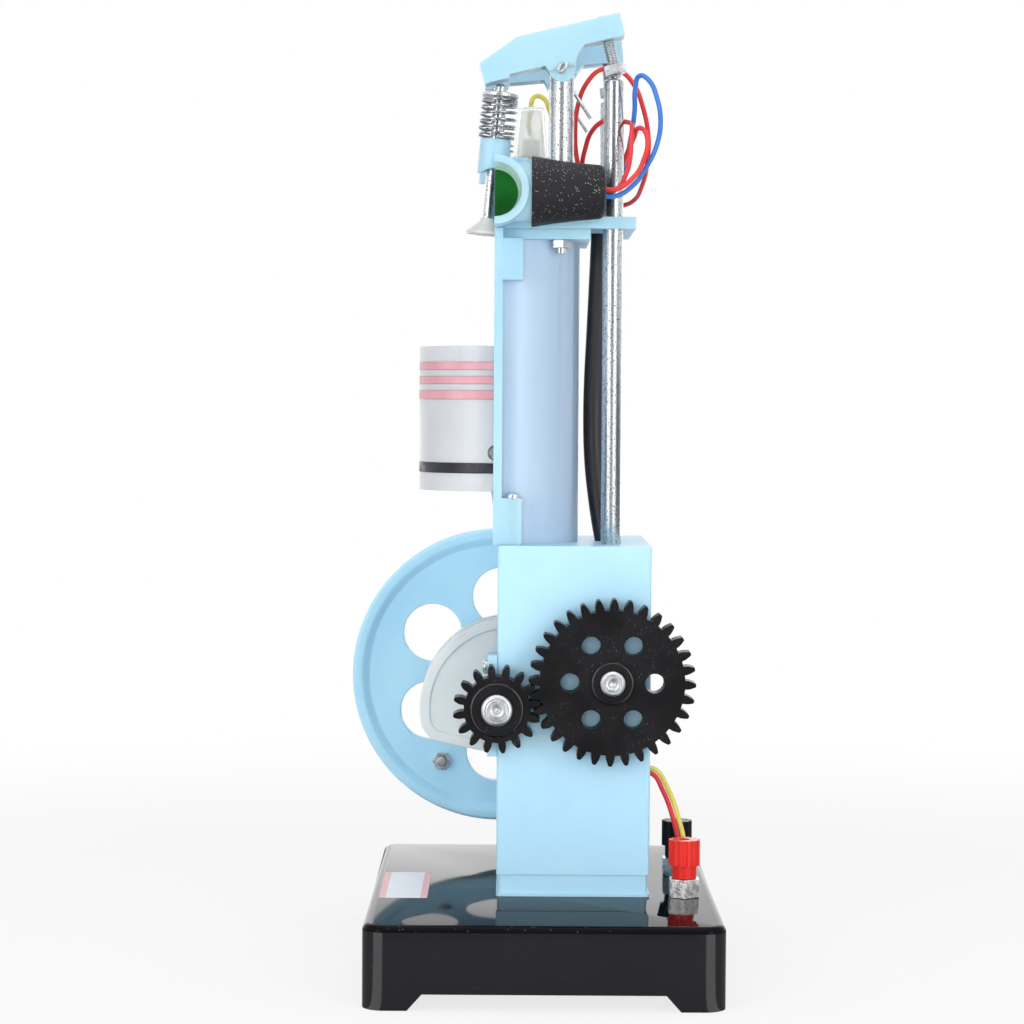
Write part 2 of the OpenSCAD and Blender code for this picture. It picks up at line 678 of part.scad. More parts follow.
module cylinder_screws() color(steel) at_cylinder_screws() {
    translate([0, 0, low_lug_h]) cylinder(r = screw_head_r, h = screw_head_t);
    translate([0, 0, -cyl_screw_len + 1]) cylinder(r = m3_r, h = low_lug_h + cyl_screw_len - 1);
}

// Rocker geometry about its pivot: pad over the valve, seat of the adjusting screw
pad_at = [-24.6, 1.2];
screw_at = [cam_y - pivot_y - 0.2, -4];
tip_gap = 0.75;
function turned(p, tilt) = [p[0] * cos(tilt) - p[1] * sin(tilt), p[0] * sin(tilt) + p[1] * cos(tilt)];
function pivot_point(p, tilt) = [pivot_y, pivot_z] + turned(p, tilt);

// Valve line, counted from the top of the valve guide
guide_up = 30;
guide_h = 13.3;
guide_r = 6;
guide_top = plate_top + guide_up;
valve_line = pivot_point(pad_at, tilt_near) + [0.6, -0.9];
guide_y = valve_line[0] - (valve_line[1] - guide_top) * tan(valve_lean);
function tip_up(tilt) = (pivot_point(pad_at, tilt)[1] - tip_gap - guide_top) / cos(valve_lean);
module on_valve(s) translate([xc + s * valve_dx, guide_y, guide_top])
    rotate([-valve_lean, 0, 0]) children();

// Head: plate, block with the two ports, lamp stubs and valve guides
plate_half = valve_dx + 9;
block_half = valve_dx + 6.5;
block_deep = 12.6;
block_core = 26;
block_core_deep = 19.5;
port_out = boot_dx + 12.4;
port_r = port_d / 2 - port_wall;
port_in = valve_dx - 6;
stub_r = 11.5;
stub_wall = 2.5;
stub_out = 26;
boot_start = 14;
spark_back = 14;
spark_r = 5;
wire_hole_back = 42.2;
module port_side(s, r, from, to) translate([xc + s * from, head_y, port_z]) rotate([0, s * 90, 0])
    cylinder(r = r, h = to - from);
module lamp_side(s, r, from, to) translate([xc + s * boot_dx, head_y + from, port_z]) rotate([-90, 0, 0])
    cylinder(r = r, h = to - from);
module at_posts(z) for (s = [-1, 1]) translate([xc + s * valve_dx, pivot_y, z]) children();
module cylinder_head() color(sky) difference() {
    union() {
        translate([xc - plate_half, head_y, plate_z]) cube([2 * plate_half, plate_deep, plate_t]);
        translate([xc - block_half, head_y, plate_z + 1])
            cube([2 * block_half, block_deep, block_top - plate_z - 1]);
        translate([xc - block_core, head_y, plate_z + 1])
            cube([2 * block_core, block_core_deep, block_top - plate_z - 1]);
        for (s = [-1, 1]) {
            intersection() {
                port_side(s, port_d / 2, block_half - 1, port_out);
                translate([xc - 2 * port_out, head_y, plate_z]) cube([4 * port_out, port_d, 2 * port_d]);
            }
            lamp_side(s, stub_r, port_d / 4, stub_out);
            on_valve(s) translate([0, 0, -guide_h]) cylinder(r = guide_r, h = guide_h);
        }
    }
    for (s = [-1, 1]) {
        port_side(s, port_r, port_in, port_out + 1);
        lamp_side(s, stub_r - stub_wall, 0, stub_out + 1);
        on_valve(s) translate([0, 0, -guide_up - plate_t - 8])
            cylinder(r = stem_d / 2 + run_fit, h = guide_up + plate_t + 9);
        on_valve(s) translate([0, 0, -guide_up - plate_t - 4])
            cylinder(r = valve_d / 2 + valve_relief, h = plate_t + 6);
        translate([xc + s * valve_dx, cam_y, plate_z - 1])
            cylinder(r = push_d / 2 + run_fit, h = plate_t + 2);
    }
    at_posts(plate_z - 1) cylinder(r = m4_r + seat_fit, h = plate_t + 2);
    translate([xc, head_y + spark_back, plate_z - 1])
        cylinder(r = spark_r + seat_fit, h = block_top - plate_z + 2);
    translate([xc, head_y + wire_hole_back, plate_z - 1]) cylinder(d = sleeve_d, h = plate_t + 2);
}

// Steel pillars of the rockers: turned down to a threaded stud at the foot, cross-drilled at the top
post_past = 2.5;
rocker_pin_r = 1.2;
stud_past_nut = 2;
module rocker_posts() color(steel) difference() {
    union() {
        at_posts(plate_top) cylinder(d = post_d, h = pivot_up + post_past);
        at_posts(plate_z - flange_t - m4_nut_t - stud_past_nut)
            cylinder(r = m4_r, h = plate_t + flange_t + m4_nut_t + stud_past_nut + 1);
    }
    at_posts(pivot_z) along_x() cylinder(r = rocker_pin_r + seat_fit, h = 2 * post_d, center = true);
}
// Each nut turns a flat towards the cylinder's wall
post_nut_turn = atan2(pivot_back - head_front, valve_dx) - 180 / 6;
module post_nuts() color(steel) for (s = [-1, 1])
    translate([xc + s * valve_dx, pivot_y, plate_z - flange_t - m4_nut_t]) difference() {
        rotate(s * post_nut_turn) hex(m4_nut_r, m4_nut_t);
        translate([0, 0, -1]) cylinder(r = m4_r + seat_fit, h = m4_nut_t + 2);
    }

// Split pin: straight shank, eye at the near side, two bent legs at the far side
eye_r = 2;
eye_wire = 0.7;
leg_len = 21;
legs = [33, -4];
eye_turn = 35;
pin_out = rocker_wid / 2 + 0.8;
module rocker_pin(s) color(steel) translate([xc + s * valve_dx, pivot_y, pivot_z]) {
    translate([-pin_out, 0, 0]) along_x() cylinder(r = rocker_pin_r, h = 2 * pin_out);
    translate([pin_out + eye_r, 0, 0]) rotate([-eye_turn, 0, 0]) rotate([90, 0, eye_turn])
        rotate_extrude($fn = 32)
            translate([eye_r, 0]) circle(eye_wire, $fn = 16);
    for (a = legs) translate([-pin_out - eye_wire / 2, 0, 0]) rotate([180 + a, 0, 0])
        cylinder(r = eye_wire, h = leg_len, $fn = 24);
}
module inlet_rocker_pin() rocker_pin(1);
module exhaust_rocker_pin() rocker_pin(-1);

// Rocker: side outline about its pivot, with a lug that straddles the post
lug_r = 5.1;
arm_top = 15.8;
arm_low = 7;
nose_low = 2.5;
rocker_back = 26.4;
rocker_nose = -30.2;
nose_foot = 1.2;
nose_top = 9.2;
nose_slant = 0.4;
slope_end = -14.2;
fillet_out = 10.3;
fillet_in = 7.3;
fillet_up = 4.3;
web_front = -6.2;
pad_back = -20.1;
pad_slant = 0.9;
post_room = 7.4;
module rocker_plan() {
    polygon([[rocker_nose, nose_foot], [rocker_nose - nose_slant, nose_top], [slope_end, arm_top],
        [rocker_back, arm_top], [rocker_back, arm_low], [fillet_out, arm_low], [fillet_in, fillet_up],
        [lug_r, 0], [-lug_r, 0], [web_front, nose_low], [pad_back, nose_low],
        [pad_back - pad_slant, nose_foot]]);
    circle(lug_r);
}
module on_pivot(s, tilt) translate([xc + s * valve_dx - rocker_wid / 2, pivot_y, pivot_z])
    along_x() rotate(tilt) children();
module rocker(s, tilt) color(sky) on_pivot(s, tilt) difference() {
    linear_extrude(rocker_wid) rocker_plan();
    translate([-post_room, -2 * lug_r, rocker_wid / 2 - post_d / 2 - free_gap])
        cube([2 * post_room, 3 * lug_r, post_d + 2 * free_gap]);
    translate([0, 0, -1]) cylinder(r = rocker_pin_r + run_fit, h = rocker_wid + 2);
    translate([screw_at[0], 0, rocker_wid / 2]) rotate([-90, 0, 0])
        cylinder(r = m5_r + seat_fit, h = 2 * arm_top);
}
module inlet_rocker() rocker(1, tilt_near);
module exhaust_rocker() rocker(-1, tilt_far);

// Adjusting screw with its lock nut; its domed foot bears on the push rod
screw_past = 1.2;
dome_r = 4;
nut_under = 2.4;
module adjuster(s, tilt) color(steel) on_pivot(s, tilt)
    translate([screw_at[0], 0, rocker_wid / 2]) rotate([-90, 0, 0]) translate([0, 0, screw_at[1]]) {
        intersection() {
            sphere(dome_r, $fn = 64);
            translate([0, 0, -dome_r]) cylinder(r = m5_r, h = dome_r);
        }
        cylinder(r = m5_r, h = arm_top + screw_past - screw_at[1]);
        translate([0, 0, -nut_under]) hex(m5_nut_r, m5_nut_t);
    }
module inlet_adjuster() adjuster(1, tilt_near);
module exhaust_adjuster() adjuster(-1, tilt_far);

// Push rods: steel rods above the cams, bevelled at both ends
push_bevel = 2;
push_top_bevel = 0.6;
foot_gap = 0.8;
screw_play = 0.3;
push_foot = cam_z + cam_heel + cam_lift + foot_gap;
function push_top(tilt) = pivot_point(screw_at, tilt)[1] - dome_r - screw_play;
module push_rod(s, tilt) color(steel) {
    low = push_foot + push_top(tilt) - push_top(tilt_far);
    high = push_top(tilt);
    translate([xc + s * valve_dx, cam_y, 0]) rotate_extrude() polygon([[0, low],
        [push_d / 2 - push_bevel / 2, low], [push_d / 2, low + push_bevel],
        [push_d / 2, high - push_top_bevel], [push_d / 2 - push_top_bevel, high], [0, high]]);
}
module inlet_push_rod() push_rod(1, tilt_near);
module exhaust_push_rod() push_rod(-1, tilt_far);

// Valve: cone head, stem and bevelled tip, drawn from the tip downwards
valve_len = 58.5;
valve_edge = 1;
valve_cone = 5.4;
tip_bevel = 1.2;
tip_r = 1;
module valve(s, tilt) color("#c8ccd0") on_valve(s)
    translate([0, 0, tip_up(tilt) - valve_len]) rotate_extrude() polygon([
        [0, 0], [valve_d / 2, 0], [valve_d / 2, valve_edge], [stem_d / 2, valve_edge + valve_cone],
        [stem_d / 2, valve_len - tip_bevel], [tip_r, valve_len], [0, valve_len]]);
module inlet_valve() valve(1, tilt_near);
module exhaust_valve() valve(-1, tilt_far);

washer_down = 5.2;
washer_t = 1.4;
washer_r = 7.3;
collet_wall = 1.5;
collet_up = 0.8;
module spring_washer(s, tilt) color(steel) on_valve(s)
    translate([0, 0, tip_up(tilt) - washer_down]) difference() {
        union() {
            cylinder(r = washer_r, h = washer_t);
            cylinder(r = stem_d / 2 + collet_wall, h = washer_t + collet_up);
        }
        translate([0, 0, -1]) cylinder(r = stem_d / 2 + seat_fit, h = washer_t + collet_up + 2);
    }
module inlet_spring_washer() spring_washer(1, tilt_near);
module exhaust_spring_washer() spring_washer(-1, tilt_far);

// Tube swept along points: rings carried along the route without twist, faces in triangles
function unit(v) = v / norm(v);
function headings(p) = [for (i = [0 : len(p) - 1]) unit(p[min(i + 1, len(p) - 1)] - p[max(i - 1, 0)])];
function carried(n, t) = unit(n - (n * t) * t);
function normals(t, n, i = 0) = i == len(t) ? [] :
    let (m = carried(n, t[i])) concat([m], normals(t, m, i + 1));
module tube(p, r, sides, start) {
    t = headings(p);
    n = normals(t, start);
    last = len(p) - 1;
    cap = last * sides;
    polyhedron(
        points = [for (i = [0 : last], k = [0 : sides - 1]) let (a = 360 * k / sides)
            p[i] + r * (cos(a) * n[i] + sin(a) * cross(t[i], n[i]))],
        faces = concat(
            [for (k = [1 : sides - 2]) [0, k, k + 1]],
            [for (k = [1 : sides - 2]) [cap, cap + k + 1, cap + k]],
            [for (i = [0 : last - 1], k = [0 : sides - 1])
                let (a = i * sides + k, b = i * sides + (k + 1) % sides) [a, a + sides, b + sides]],
            [for (i = [0 : last - 1], k = [0 : sides - 1])
                let (a = i * sides + k, b = i * sides + (k + 1) % sides) [a, b + sides, b]]));
}

// Valve springs: helices from the guide to the washer, eight rings to a curl
curl_rings = 8;
spring_sides = 6;
spring_seat = 0.1;
function spring_route(tilt) = let (
        low = spring_wire / 2 + spring_seat,
        high = tip_up(tilt) - washer_down - spring_wire / 2 - spring_seat,
        r = (spring_d - spring_wire) / 2,
        count = spring_curls * curl_rings)
    [for (i = [0 : count]) let (a = 360 * i / curl_rings)
        [r * cos(a), r * sin(a), low + (high - low) * i / count]];
function least_gap(p) = min([for (i = [0 : len(p) - 1], j = [i + curl_rings / 2 : 1 : len(p) - 1])
    norm(p[i] - p[j])]) - spring_wire;
echo(inlet_spring_gap = least_gap(spring_route(tilt_near)));
echo(exhaust_spring_gap = least_gap(spring_route(tilt_far)));
module spring(s, tilt) color(steel) on_valve(s)
    tube(spring_route(tilt), spring_wire / 2, spring_sides, [0, 0, 1]);
module inlet_spring() spring(1, tilt_near);
module exhaust_spring() spring(-1, tilt_far);

// Coloured lenses across the ports, cut flush with the front plane
lens_t = 2;
lens_at = boot_dx + 0.5;
module port_lens(s) intersection() {
    port_side(s, port_r - seat_fit, lens_at, lens_at + lens_t);
    translate([xc - 2 * port_out, head_y, port_z - port_d]) cube([4 * port_out, port_d, 2 * port_d]);
}
module inlet_lens() color("#0a5f23") port_lens(1);
module exhaust_lens() color("#b01818") port_lens(-1);

// Rubber boots over the lamp stubs, each with a lamp inside
bulb_r = 4.5;
bulb_front = 16;
bulb_end = 34;
boot_round = 2;
boot_end = boot_start + boot_len;
module lamp_boots() color("#2d2b2f") for (s = [-1, 1])
    translate([xc + s * boot_dx, head_y, port_z]) rotate([-90, 0, 0]) difference() {
        rotate_extrude() polygon([[0, boot_start], [boot_d1 / 2, boot_start],
            for (a = [0 : 30 : 90])
                [boot_d2 / 2 - boot_round * (1 - cos(a)), boot_end - boot_round * (1 - sin(a))],
            [0, boot_end]]);
        translate([0, 0, boot_start - 1])
            cylinder(r = stub_r + seat_fit, h = stub_out - boot_start + 1 + seat_fit);
        translate([0, 0, boot_start])
            cylinder(r = bulb_r + seat_fit, h = bulb_end - boot_start + seat_fit);
    }
module lamp_bulbs() color("#f4f0dc") for (s = [-1, 1]) {
    lamp_side(s, bulb_r, bulb_front, bulb_end);
    translate([xc + s * boot_dx, head_y + bulb_front, port_z]) sphere(bulb_r);
}

// Lamp that stands for the spark, and the clear cap over its lead
spark_neck = 3.5;
spark_up = 10;
spark_dip = 1;
cap_flange_r = 7.75;
cap_flange_t = 3;
cap_low_r = 6.5;
cap_top_r = 5;
cap_up = 19.5;
cap_wall = 1.2;
module at_spark(z) translate([xc, head_y + spark_back, z]) children();
module spark_lamp() color("#f2e3d0") {
    at_spark(plate_z - spark_dip) cylinder(r = spark_r, h = block_top - plate_z + spark_dip);
    at_spark(plate_z - spark_dip) sphere(spark_r - 1);
    at_spark(block_top - 1) cylinder(r = spark_neck, h = spark_up + 1);
}
module spark_cap() color("#f0f4f4") at_spark(block_top) difference() {
    union() {
        cylinder(r = cap_flange_r, h = cap_flange_t);
        translate([0, 0, cap_flange_t]) cylinder(r1 = cap_low_r, r2 = cap_top_r, h = cap_up);
    }
    translate([0, 0, -1]) cylinder(r = spark_neck + seat_fit, h = spark_up + 1.2);
    translate([0, 0, cap_flange_t])
        cylinder(r1 = cap_low_r - cap_wall, r2 = cap_top_r - cap_wall, h = cap_up - cap_wall);
}

// Binding posts: hexagon collar on the base, threaded stud and a fluted cap with a plug socket
collar_r = 6.5;
collar_h = 7.2;
skirt_r = 4.75;
skirt_h = 4.8;
cap_h = 10;
socket_r = 2;
socket_deep = 6;
flutes = 12;
flute_r = 0.9;
stud_in_cap = 2;
module terminal_collars() color(steel) at_terminals() difference() {
    hex(collar_r, collar_h);
    translate([0, 0, -1]) cylinder(r = stud_r + seat_fit, h = collar_h + 2);
}
module terminal_studs() color(steel) at_terminals() {
    translate([0, 0, -base_wall - stud_down])
        cylinder(r = stud_r, h = base_wall + stud_down + collar_h + skirt_h + stud_in_cap);
    translate([0, 0, -base_wall - m3_nut_t]) hex(m3_nut_r, m3_nut_t);
}
cap_gap = 0.2;
cap_z = base_h + collar_h + cap_gap;
module terminal_cap(k)
    translate([red_terminal_x - k * terminal_step, terminal_y, cap_z]) difference() {
        union() {
            cylinder(r = skirt_r, h = skirt_h + 1);
            translate([0, 0, skirt_h]) cylinder(d = cap_d, h = cap_h);
        }
        translate([0, 0, -1]) cylinder(r = stud_r + run_fit, h = skirt_h + stud_in_cap + 2);
        translate([0, 0, skirt_h + cap_h - socket_deep]) cylinder(r = socket_r, h = socket_deep + 1);
        for (i = [0 : flutes - 1]) rotate(i * 360 / flutes)
            translate([cap_d / 2 + flute_r / 3, 0, skirt_h - 1])
                cylinder(r = flute_r, h = cap_h + 2, $fn = 24);
    }
module red_terminal_cap() color("#e12828") terminal_cap(0);
module black_terminal_cap() color(ink) terminal_cap(1);

// Routes of the wires on the head, counted from the middle of the head plate's front top edge
wire_turn = boot_end + 3.8;
sleeve_route = [[0, 42.2, -4.5], [0, 41.8, -13.5], [0, 41.2, -28.5], [0, 40.4, -46.5], [0, 39.7, -63.5],
    [0, 39.5, -78.5], [0, 40, -93.5], [0, 41.4, -107.5], [0, 43.2, -119.5], [0, 45.6, -131.5]];
far_red_route = [[1.8, 40.8, -4.2], [2.8, 40.3, 3.5], [4.8, 35.8, 13.5], [6.3, 32.3, 23.5],
    [6.3, 31.3, 35.5], [6.3, 32.3, 45.5], [6.3, 35.8, 54.5], [5.3, 41.8, 60], [4.3, 48.8, 59.5],
    [3.3, 54.3, 54.5], [0.3, 58.3, 45.5], [-5.7, 60.8, 34.5], [-14.7, 60.8, 24.5], [-26.7, 59.3, 16.5],
    [-38.7, 56.3, 11.5], [-45.2, 51.8, 9.9], [-boot_dx, wire_turn, port_up],
    [-boot_dx, boot_end, port_up]];
near_red_route = [[boot_dx - 1.8, boot_end, port_up + 0.9], [boot_dx - 1.8, wire_turn, port_up + 0.9],
    [42.3, 50.3, 16.5], [39.8, 51.8, 23.5], [37.3, 52.1, 29.5], [33.3, 52.6, 34], [27.3, 52.4, 36.5],
    [20.8, 49.2, 38], [16.3, 42.3, 38.5], [12.3, 37.8, 35], [7.3, 35.3, 28.5], [1.3, 34.3, 21.5],
    [-2.7, 35.8, 12.5], [-2.1, 40, 3.5], [-1.7, 40.5, -4.2]];
link_red_route = [[boot_dx + 1.7, boot_end, port_up + 0.9], [boot_dx + 1.7, wire_turn, port_up + 0.9],
    [46.3, 53.8, 15.5], [43.3, 56.8, 21.5], [40.8, 58.3, 27.5], [38.8, 57.3, 32.5], [35.3, 55, 34],
    [29.3, 53.6, 31], [22.3, 50.8, 24.5], [12.3, 46.6, 12.5], [3.8, 45, 5.5], [1.8, 44.3, 0.5],
    [1.8, 44.3, -4.2]];
blue_route = [[boot_dx - 0.1, boot_end, port_up - 1.6], [boot_dx - 0.1, wire_turn, port_up - 1.6],
    [44.3, 52.8, 11.5], [41.3, 57.8, 18.5], [39.3, 61.8, 27], [38.3, 63.3, 36.5], [37.8, 61.8, 45.5],
    [37.3, 58.8, 52], [35.3, 55.3, 54], [32.3, 53.8, 49.5], [27.3, 53.8, 41.5], [21.3, 52.8, 32.5],
    [13.3, 50.8, 21.5], [5.3, 48.3, 11.5], [-0.7, 45.3, 4.5], [-2.2, 43.3, -4.2]];
spark_top = block_top + cap_flange_t + cap_up - plate_top;
spark_lead_route = [[0, spark_back, spark_top + 0.1], [0, spark_back, spark_top + 2.3],
    [0, 15.8, spark_top + 4.7], [0, 18.8, spark_top + 3.9], [0, 21, spark_top - 0.1],
    [0, 22.8, 37.5], [0, 25.8, 27.5], [0, 30.8, 17.5], [0, 36.8, 8.5], [0, 41.8, 2], [0, 42.3, -4.2]];
// Supply wires from the crankcase's back wall to the base: share of the way back, height above the base
supply_start = case_back - 1.5;
supply_route = [for (p = [[0, supply_up], [0.23, 46.5], [0.5, 40], [0.78, 28], [0.96, 14], [1, -1.5]])
    [supply_x, supply_start + p[0] * (supply_in_y - supply_start), base_h + p[1]]];
supply_step = 2.1;
function beside(route, d) = let (t = headings(route))
    [for (i = [0 : len(route) - 1]) route[i] + d * [0, -t[i][2], t[i][1]]];
wire_sides = 8;
sleeve_sides = 12;
module on_head() translate([xc, head_y, plate_top]) children();
module wire(route) tube(route, wire_d / 2, wire_sides, [1, 0, 0]);
module supply_wire(s) wire(beside(supply_route, s * supply_step / 2));
module wire_sleeve() color(ink) on_head() tube(sleeve_route, sleeve_d / 2, sleeve_sides, [1, 0, 0]);
module red_wires() color("#e12828") {
    on_head() for (route = [far_red_route, near_red_route, link_red_route]) wire(route);
    supply_wire(-1);
}
module blue_wire() color("#3278d2") on_head() wire(blue_route);
module yellow_wires() color("#d7cd69") {
    on_head() wire(spark_lead_route);
    supply_wire(1);
}

base();
crankcase();
case_screws();
bearing_cap_near();
bearing_cap_far();
cap_screws();
crank_stub_near();
crank_stub_far();
crank_web_near();
crank_web_far();
crank_pinion();
flywheel();
handle_bolt();
handle_nut();
handle_grip();
camshaft();
cam_gear();
inlet_cam();
exhaust_cam();
connecting_rod();
crank_pin();
piston();
piston_rings();
oil_ring();
wrist_pin();
cut_cylinder();
cylinder_screws();
cylinder_head();
rocker_posts();
post_nuts();
inlet_rocker_pin();
exhaust_rocker_pin();
inlet_rocker();
exhaust_rocker();
inlet_adjuster();
exhaust_adjuster();
inlet_push_rod();
exhaust_push_rod();
inlet_valve();
exhaust_valve();
inlet_spring_washer();
exhaust_spring_washer();
inlet_spring();
exhaust_spring();
inlet_lens();
exhaust_lens();
lamp_boots();
lamp_bulbs();
spark_lamp();
spark_cap();
terminal_collars();
terminal_studs();
red_terminal_cap();
black_terminal_cap();
wire_sleeve();
red_wires();
blue_wire();
yellow_wires();
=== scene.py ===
import json
import math

import bmesh
import bpy
from mathutils import Matrix, Vector


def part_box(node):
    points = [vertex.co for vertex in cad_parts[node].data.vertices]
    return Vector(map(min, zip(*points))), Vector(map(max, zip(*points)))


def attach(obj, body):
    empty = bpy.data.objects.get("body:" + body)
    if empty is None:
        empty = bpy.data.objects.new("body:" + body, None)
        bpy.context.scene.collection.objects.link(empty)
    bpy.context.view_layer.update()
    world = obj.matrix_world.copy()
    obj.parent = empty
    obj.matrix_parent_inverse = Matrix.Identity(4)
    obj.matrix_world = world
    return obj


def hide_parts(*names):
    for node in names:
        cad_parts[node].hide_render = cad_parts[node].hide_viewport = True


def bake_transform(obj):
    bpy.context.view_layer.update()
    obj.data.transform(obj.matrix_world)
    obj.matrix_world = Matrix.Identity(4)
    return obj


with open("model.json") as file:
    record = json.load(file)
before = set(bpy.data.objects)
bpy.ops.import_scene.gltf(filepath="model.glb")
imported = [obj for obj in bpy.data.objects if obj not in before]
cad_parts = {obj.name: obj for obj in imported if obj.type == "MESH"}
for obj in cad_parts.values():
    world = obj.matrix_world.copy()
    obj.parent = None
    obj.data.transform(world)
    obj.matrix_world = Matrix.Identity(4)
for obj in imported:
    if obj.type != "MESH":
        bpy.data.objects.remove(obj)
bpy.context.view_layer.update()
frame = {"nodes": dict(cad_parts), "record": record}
nodes = frame["nodes"]
bodyOf = {node: body for body, held in frame["record"]["behaviour"]["bodies"].items() for node in held}
scene = bpy.context.scene
scene.view_settings.view_transform = "Standard"


def boxOf(name):  # lowest, middle and highest corner of a node in millimetres
    low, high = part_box(name)
    return low * 1000, (low + high) * 500, high * 1000


# places that several pieces share, in millimetres
plateThick = 4.5
engine = {"middleX": boxOf("cut_cylinder")[1].x, "frontY": boxOf("crank_stub_near")[1].y,
          "crankZ": boxOf("crank_stub_near")[1].z, "camY": boxOf("camshaft")[1].y,
          "camZ": boxOf("camshaft")[1].z, "headY": boxOf("inlet_lens")[0].y,
          "portZ": boxOf("inlet_lens")[1].z, "headTop": boxOf("cylinder_head")[0].z + plateThick,
          "bootEndY": boxOf("lamp_boots")[2].y, "caseBackY": boxOf("crankcase")[2].y,
          "terminalY": boxOf("red_terminal_cap")[1].y, "baseTop": boxOf("base")[2].z}
bootDx = 46.6
bootEnd = engine["bootEndY"] - engine["headY"]
portUp = engine["portZ"] - engine["headTop"]


def mm(x, y, z):
    return Vector((x, y, z)) * 0.001


def onHead(points):  # head wires count from the middle of the head plate's front top edge
    start = mm(engine["middleX"], engine["headY"], engine["headTop"])
    return [start + mm(*p) for p in points]


def paintCode(code):  # screen colour to linear light
    parts = [int(code[i:i + 2], 16) / 255 for i in (1, 3, 5)]
    return tuple(c / 12.92 if c <= 0.04045 else ((c + 0.055) / 1.055) ** 2.4 for c in parts) + (1,)


# camera: level with the head, on the gear side, tipped down a little
photoView = {"eye": (1112.7, -5.75, 221), "lens": 97.35, "sensor": 36, "tipDown": 2.27, "roll": 0.35,
             "clipStart": 0.01}

cameraData = bpy.data.cameras.new("photoCamera")
cameraData.lens = photoView["lens"]
cameraData.sensor_width = photoView["sensor"]
cameraData.clip_start = photoView["clipStart"]
camera = bpy.data.objects.new("photoCamera", cameraData)
camera.matrix_world = (Matrix.Translation(mm(*photoView["eye"]))
                       @ Matrix.Rotation(math.radians(90), 4, "Z")
                       @ Matrix.Rotation(math.radians(90 - photoView["tipDown"]), 4, "X")
                       @ Matrix.Rotation(math.radians(photoView["roll"]), 4, "Z"))
scene.collection.objects.link(camera)
scene.camera = camera
print("camera set")


# shader helpers
def addNode(tree, kind, x, y, **settings):
    node = tree.nodes.new(kind if kind.startswith("Node") else "ShaderNode" + kind)
    node.location = (x, y)
    for key, value in settings.items():
        setattr(node, key, value)
    return node


def join(tree, value, socket):  # links an output, or sets a plain value
    if isinstance(value, bpy.types.NodeSocket):
        tree.links.new(value, socket)
    else:
        socket.default_value = value


def mathStep(tree, x, y, operation, *terms):
    node = addNode(tree, "Math", x, y, operation=operation)
    for term, socket in zip(terms, node.inputs):
        join(tree, term, socket)
    return node.outputs["Value"]


def ramp(tree, x, y, source, low, high, outLow=0.0, outHigh=1.0):  # smooth step between two values
    node = addNode(tree, "MapRange", x, y, interpolation_type="SMOOTHSTEP")
    for label, value in (("Value", source), ("From Min", low), ("From Max", high),
                         ("To Min", outLow), ("To Max", outHigh)):
        join(tree, value, node.inputs[label])
    return node.outputs["Result"]


def mixShaders(tree, x, y, mask, first, second):
    node = addNode(tree, "MixShader", x, y)
    for source, socket in zip((mask, first, second), node.inputs):
        tree.links.new(source, socket)
    return node.outputs["Shader"]


def startGroup(name, inputs, outputs):
    tree = bpy.data.node_groups.new(name, "ShaderNodeTree")
    for label, default in inputs.items():
        kind = "NodeSocketVector" if default is None else "NodeSocketFloat"
        socket = tree.interface.new_socket(label, in_out="INPUT", socket_type=kind)
        if default is not None:
            socket.default_value = default
    for label in outputs:
        tree.interface.new_socket(label, in_out="OUTPUT", socket_type="NodeSocketFloat")
    given = addNode(tree, "NodeGroupInput", -900, 0).outputs
    return tree, given, addNode(tree, "NodeGroupOutput", 700, 0).inputs


def groupTexture(tree, kind, y, place, scale, detail=None):
    node = addNode(tree, kind, -500, y)
    tree.links.new(place, node.inputs["Vector"])
    tree.links.new(scale, node.inputs["Scale"])
    if detail:
        node.inputs["Detail"].default_value = detail
    return node.outputs


# moulded skin: slow clouds of tone and a fine grain
mouldedSkin, given, made = startGroup(
    "mouldedSkin", {"Vector": None, "Cloud Scale": 40.0, "Grain Scale": 2500.0}, ["Cloud", "Grain"])
cloud = groupTexture(mouldedSkin, "TexNoise", 200, given["Vector"], given["Cloud Scale"], 4)
grain = groupTexture(mouldedSkin, "TexNoise", -200, given["Vector"], given["Grain Scale"], 2)
mouldedSkin.links.new(ramp(mouldedSkin, -100, 200, cloud["Fac"], low=0.3, high=0.7), made["Cloud"])
mouldedSkin.links.new(ramp(mouldedSkin, -100, -200, grain["Fac"], low=0.25, high=0.75), made["Grain"])

# dust: small specks that gather in patches
dustSpecks, given, made = startGroup(
    "dustSpecks", {"Vector": None, "Speck Scale": 900.0, "Patch Scale": 60.0, "Sparse": 0.68}, ["Specks"])
cells = groupTexture(dustSpecks, "TexVoronoi", 200, given["Vector"], given["Speck Scale"])
patches = groupTexture(dustSpecks, "TexNoise", -200, given["Vector"], given["Patch Scale"])
shade = addNode(dustSpecks, "SeparateColor", -200, 0)
dustSpecks.links.new(cells["Color"], shade.inputs["Color"])
chosen = mathStep(dustSpecks, 0, 0, "GREATER_THAN", shade.outputs["Red"], given["Sparse"])
speck = ramp(dustSpecks, -200, 200, cells["Distance"], low=0.22, high=0.12)
patch = ramp(dustSpecks, -200, -200, patches["Fac"], low=0.42, high=0.6)
kept = mathStep(dustSpecks, 200, 100, "MULTIPLY", speck, chosen)
dustSpecks.links.new(mathStep(dustSpecks, 400, 0, "MULTIPLY", kept, patch), made["Specks"])

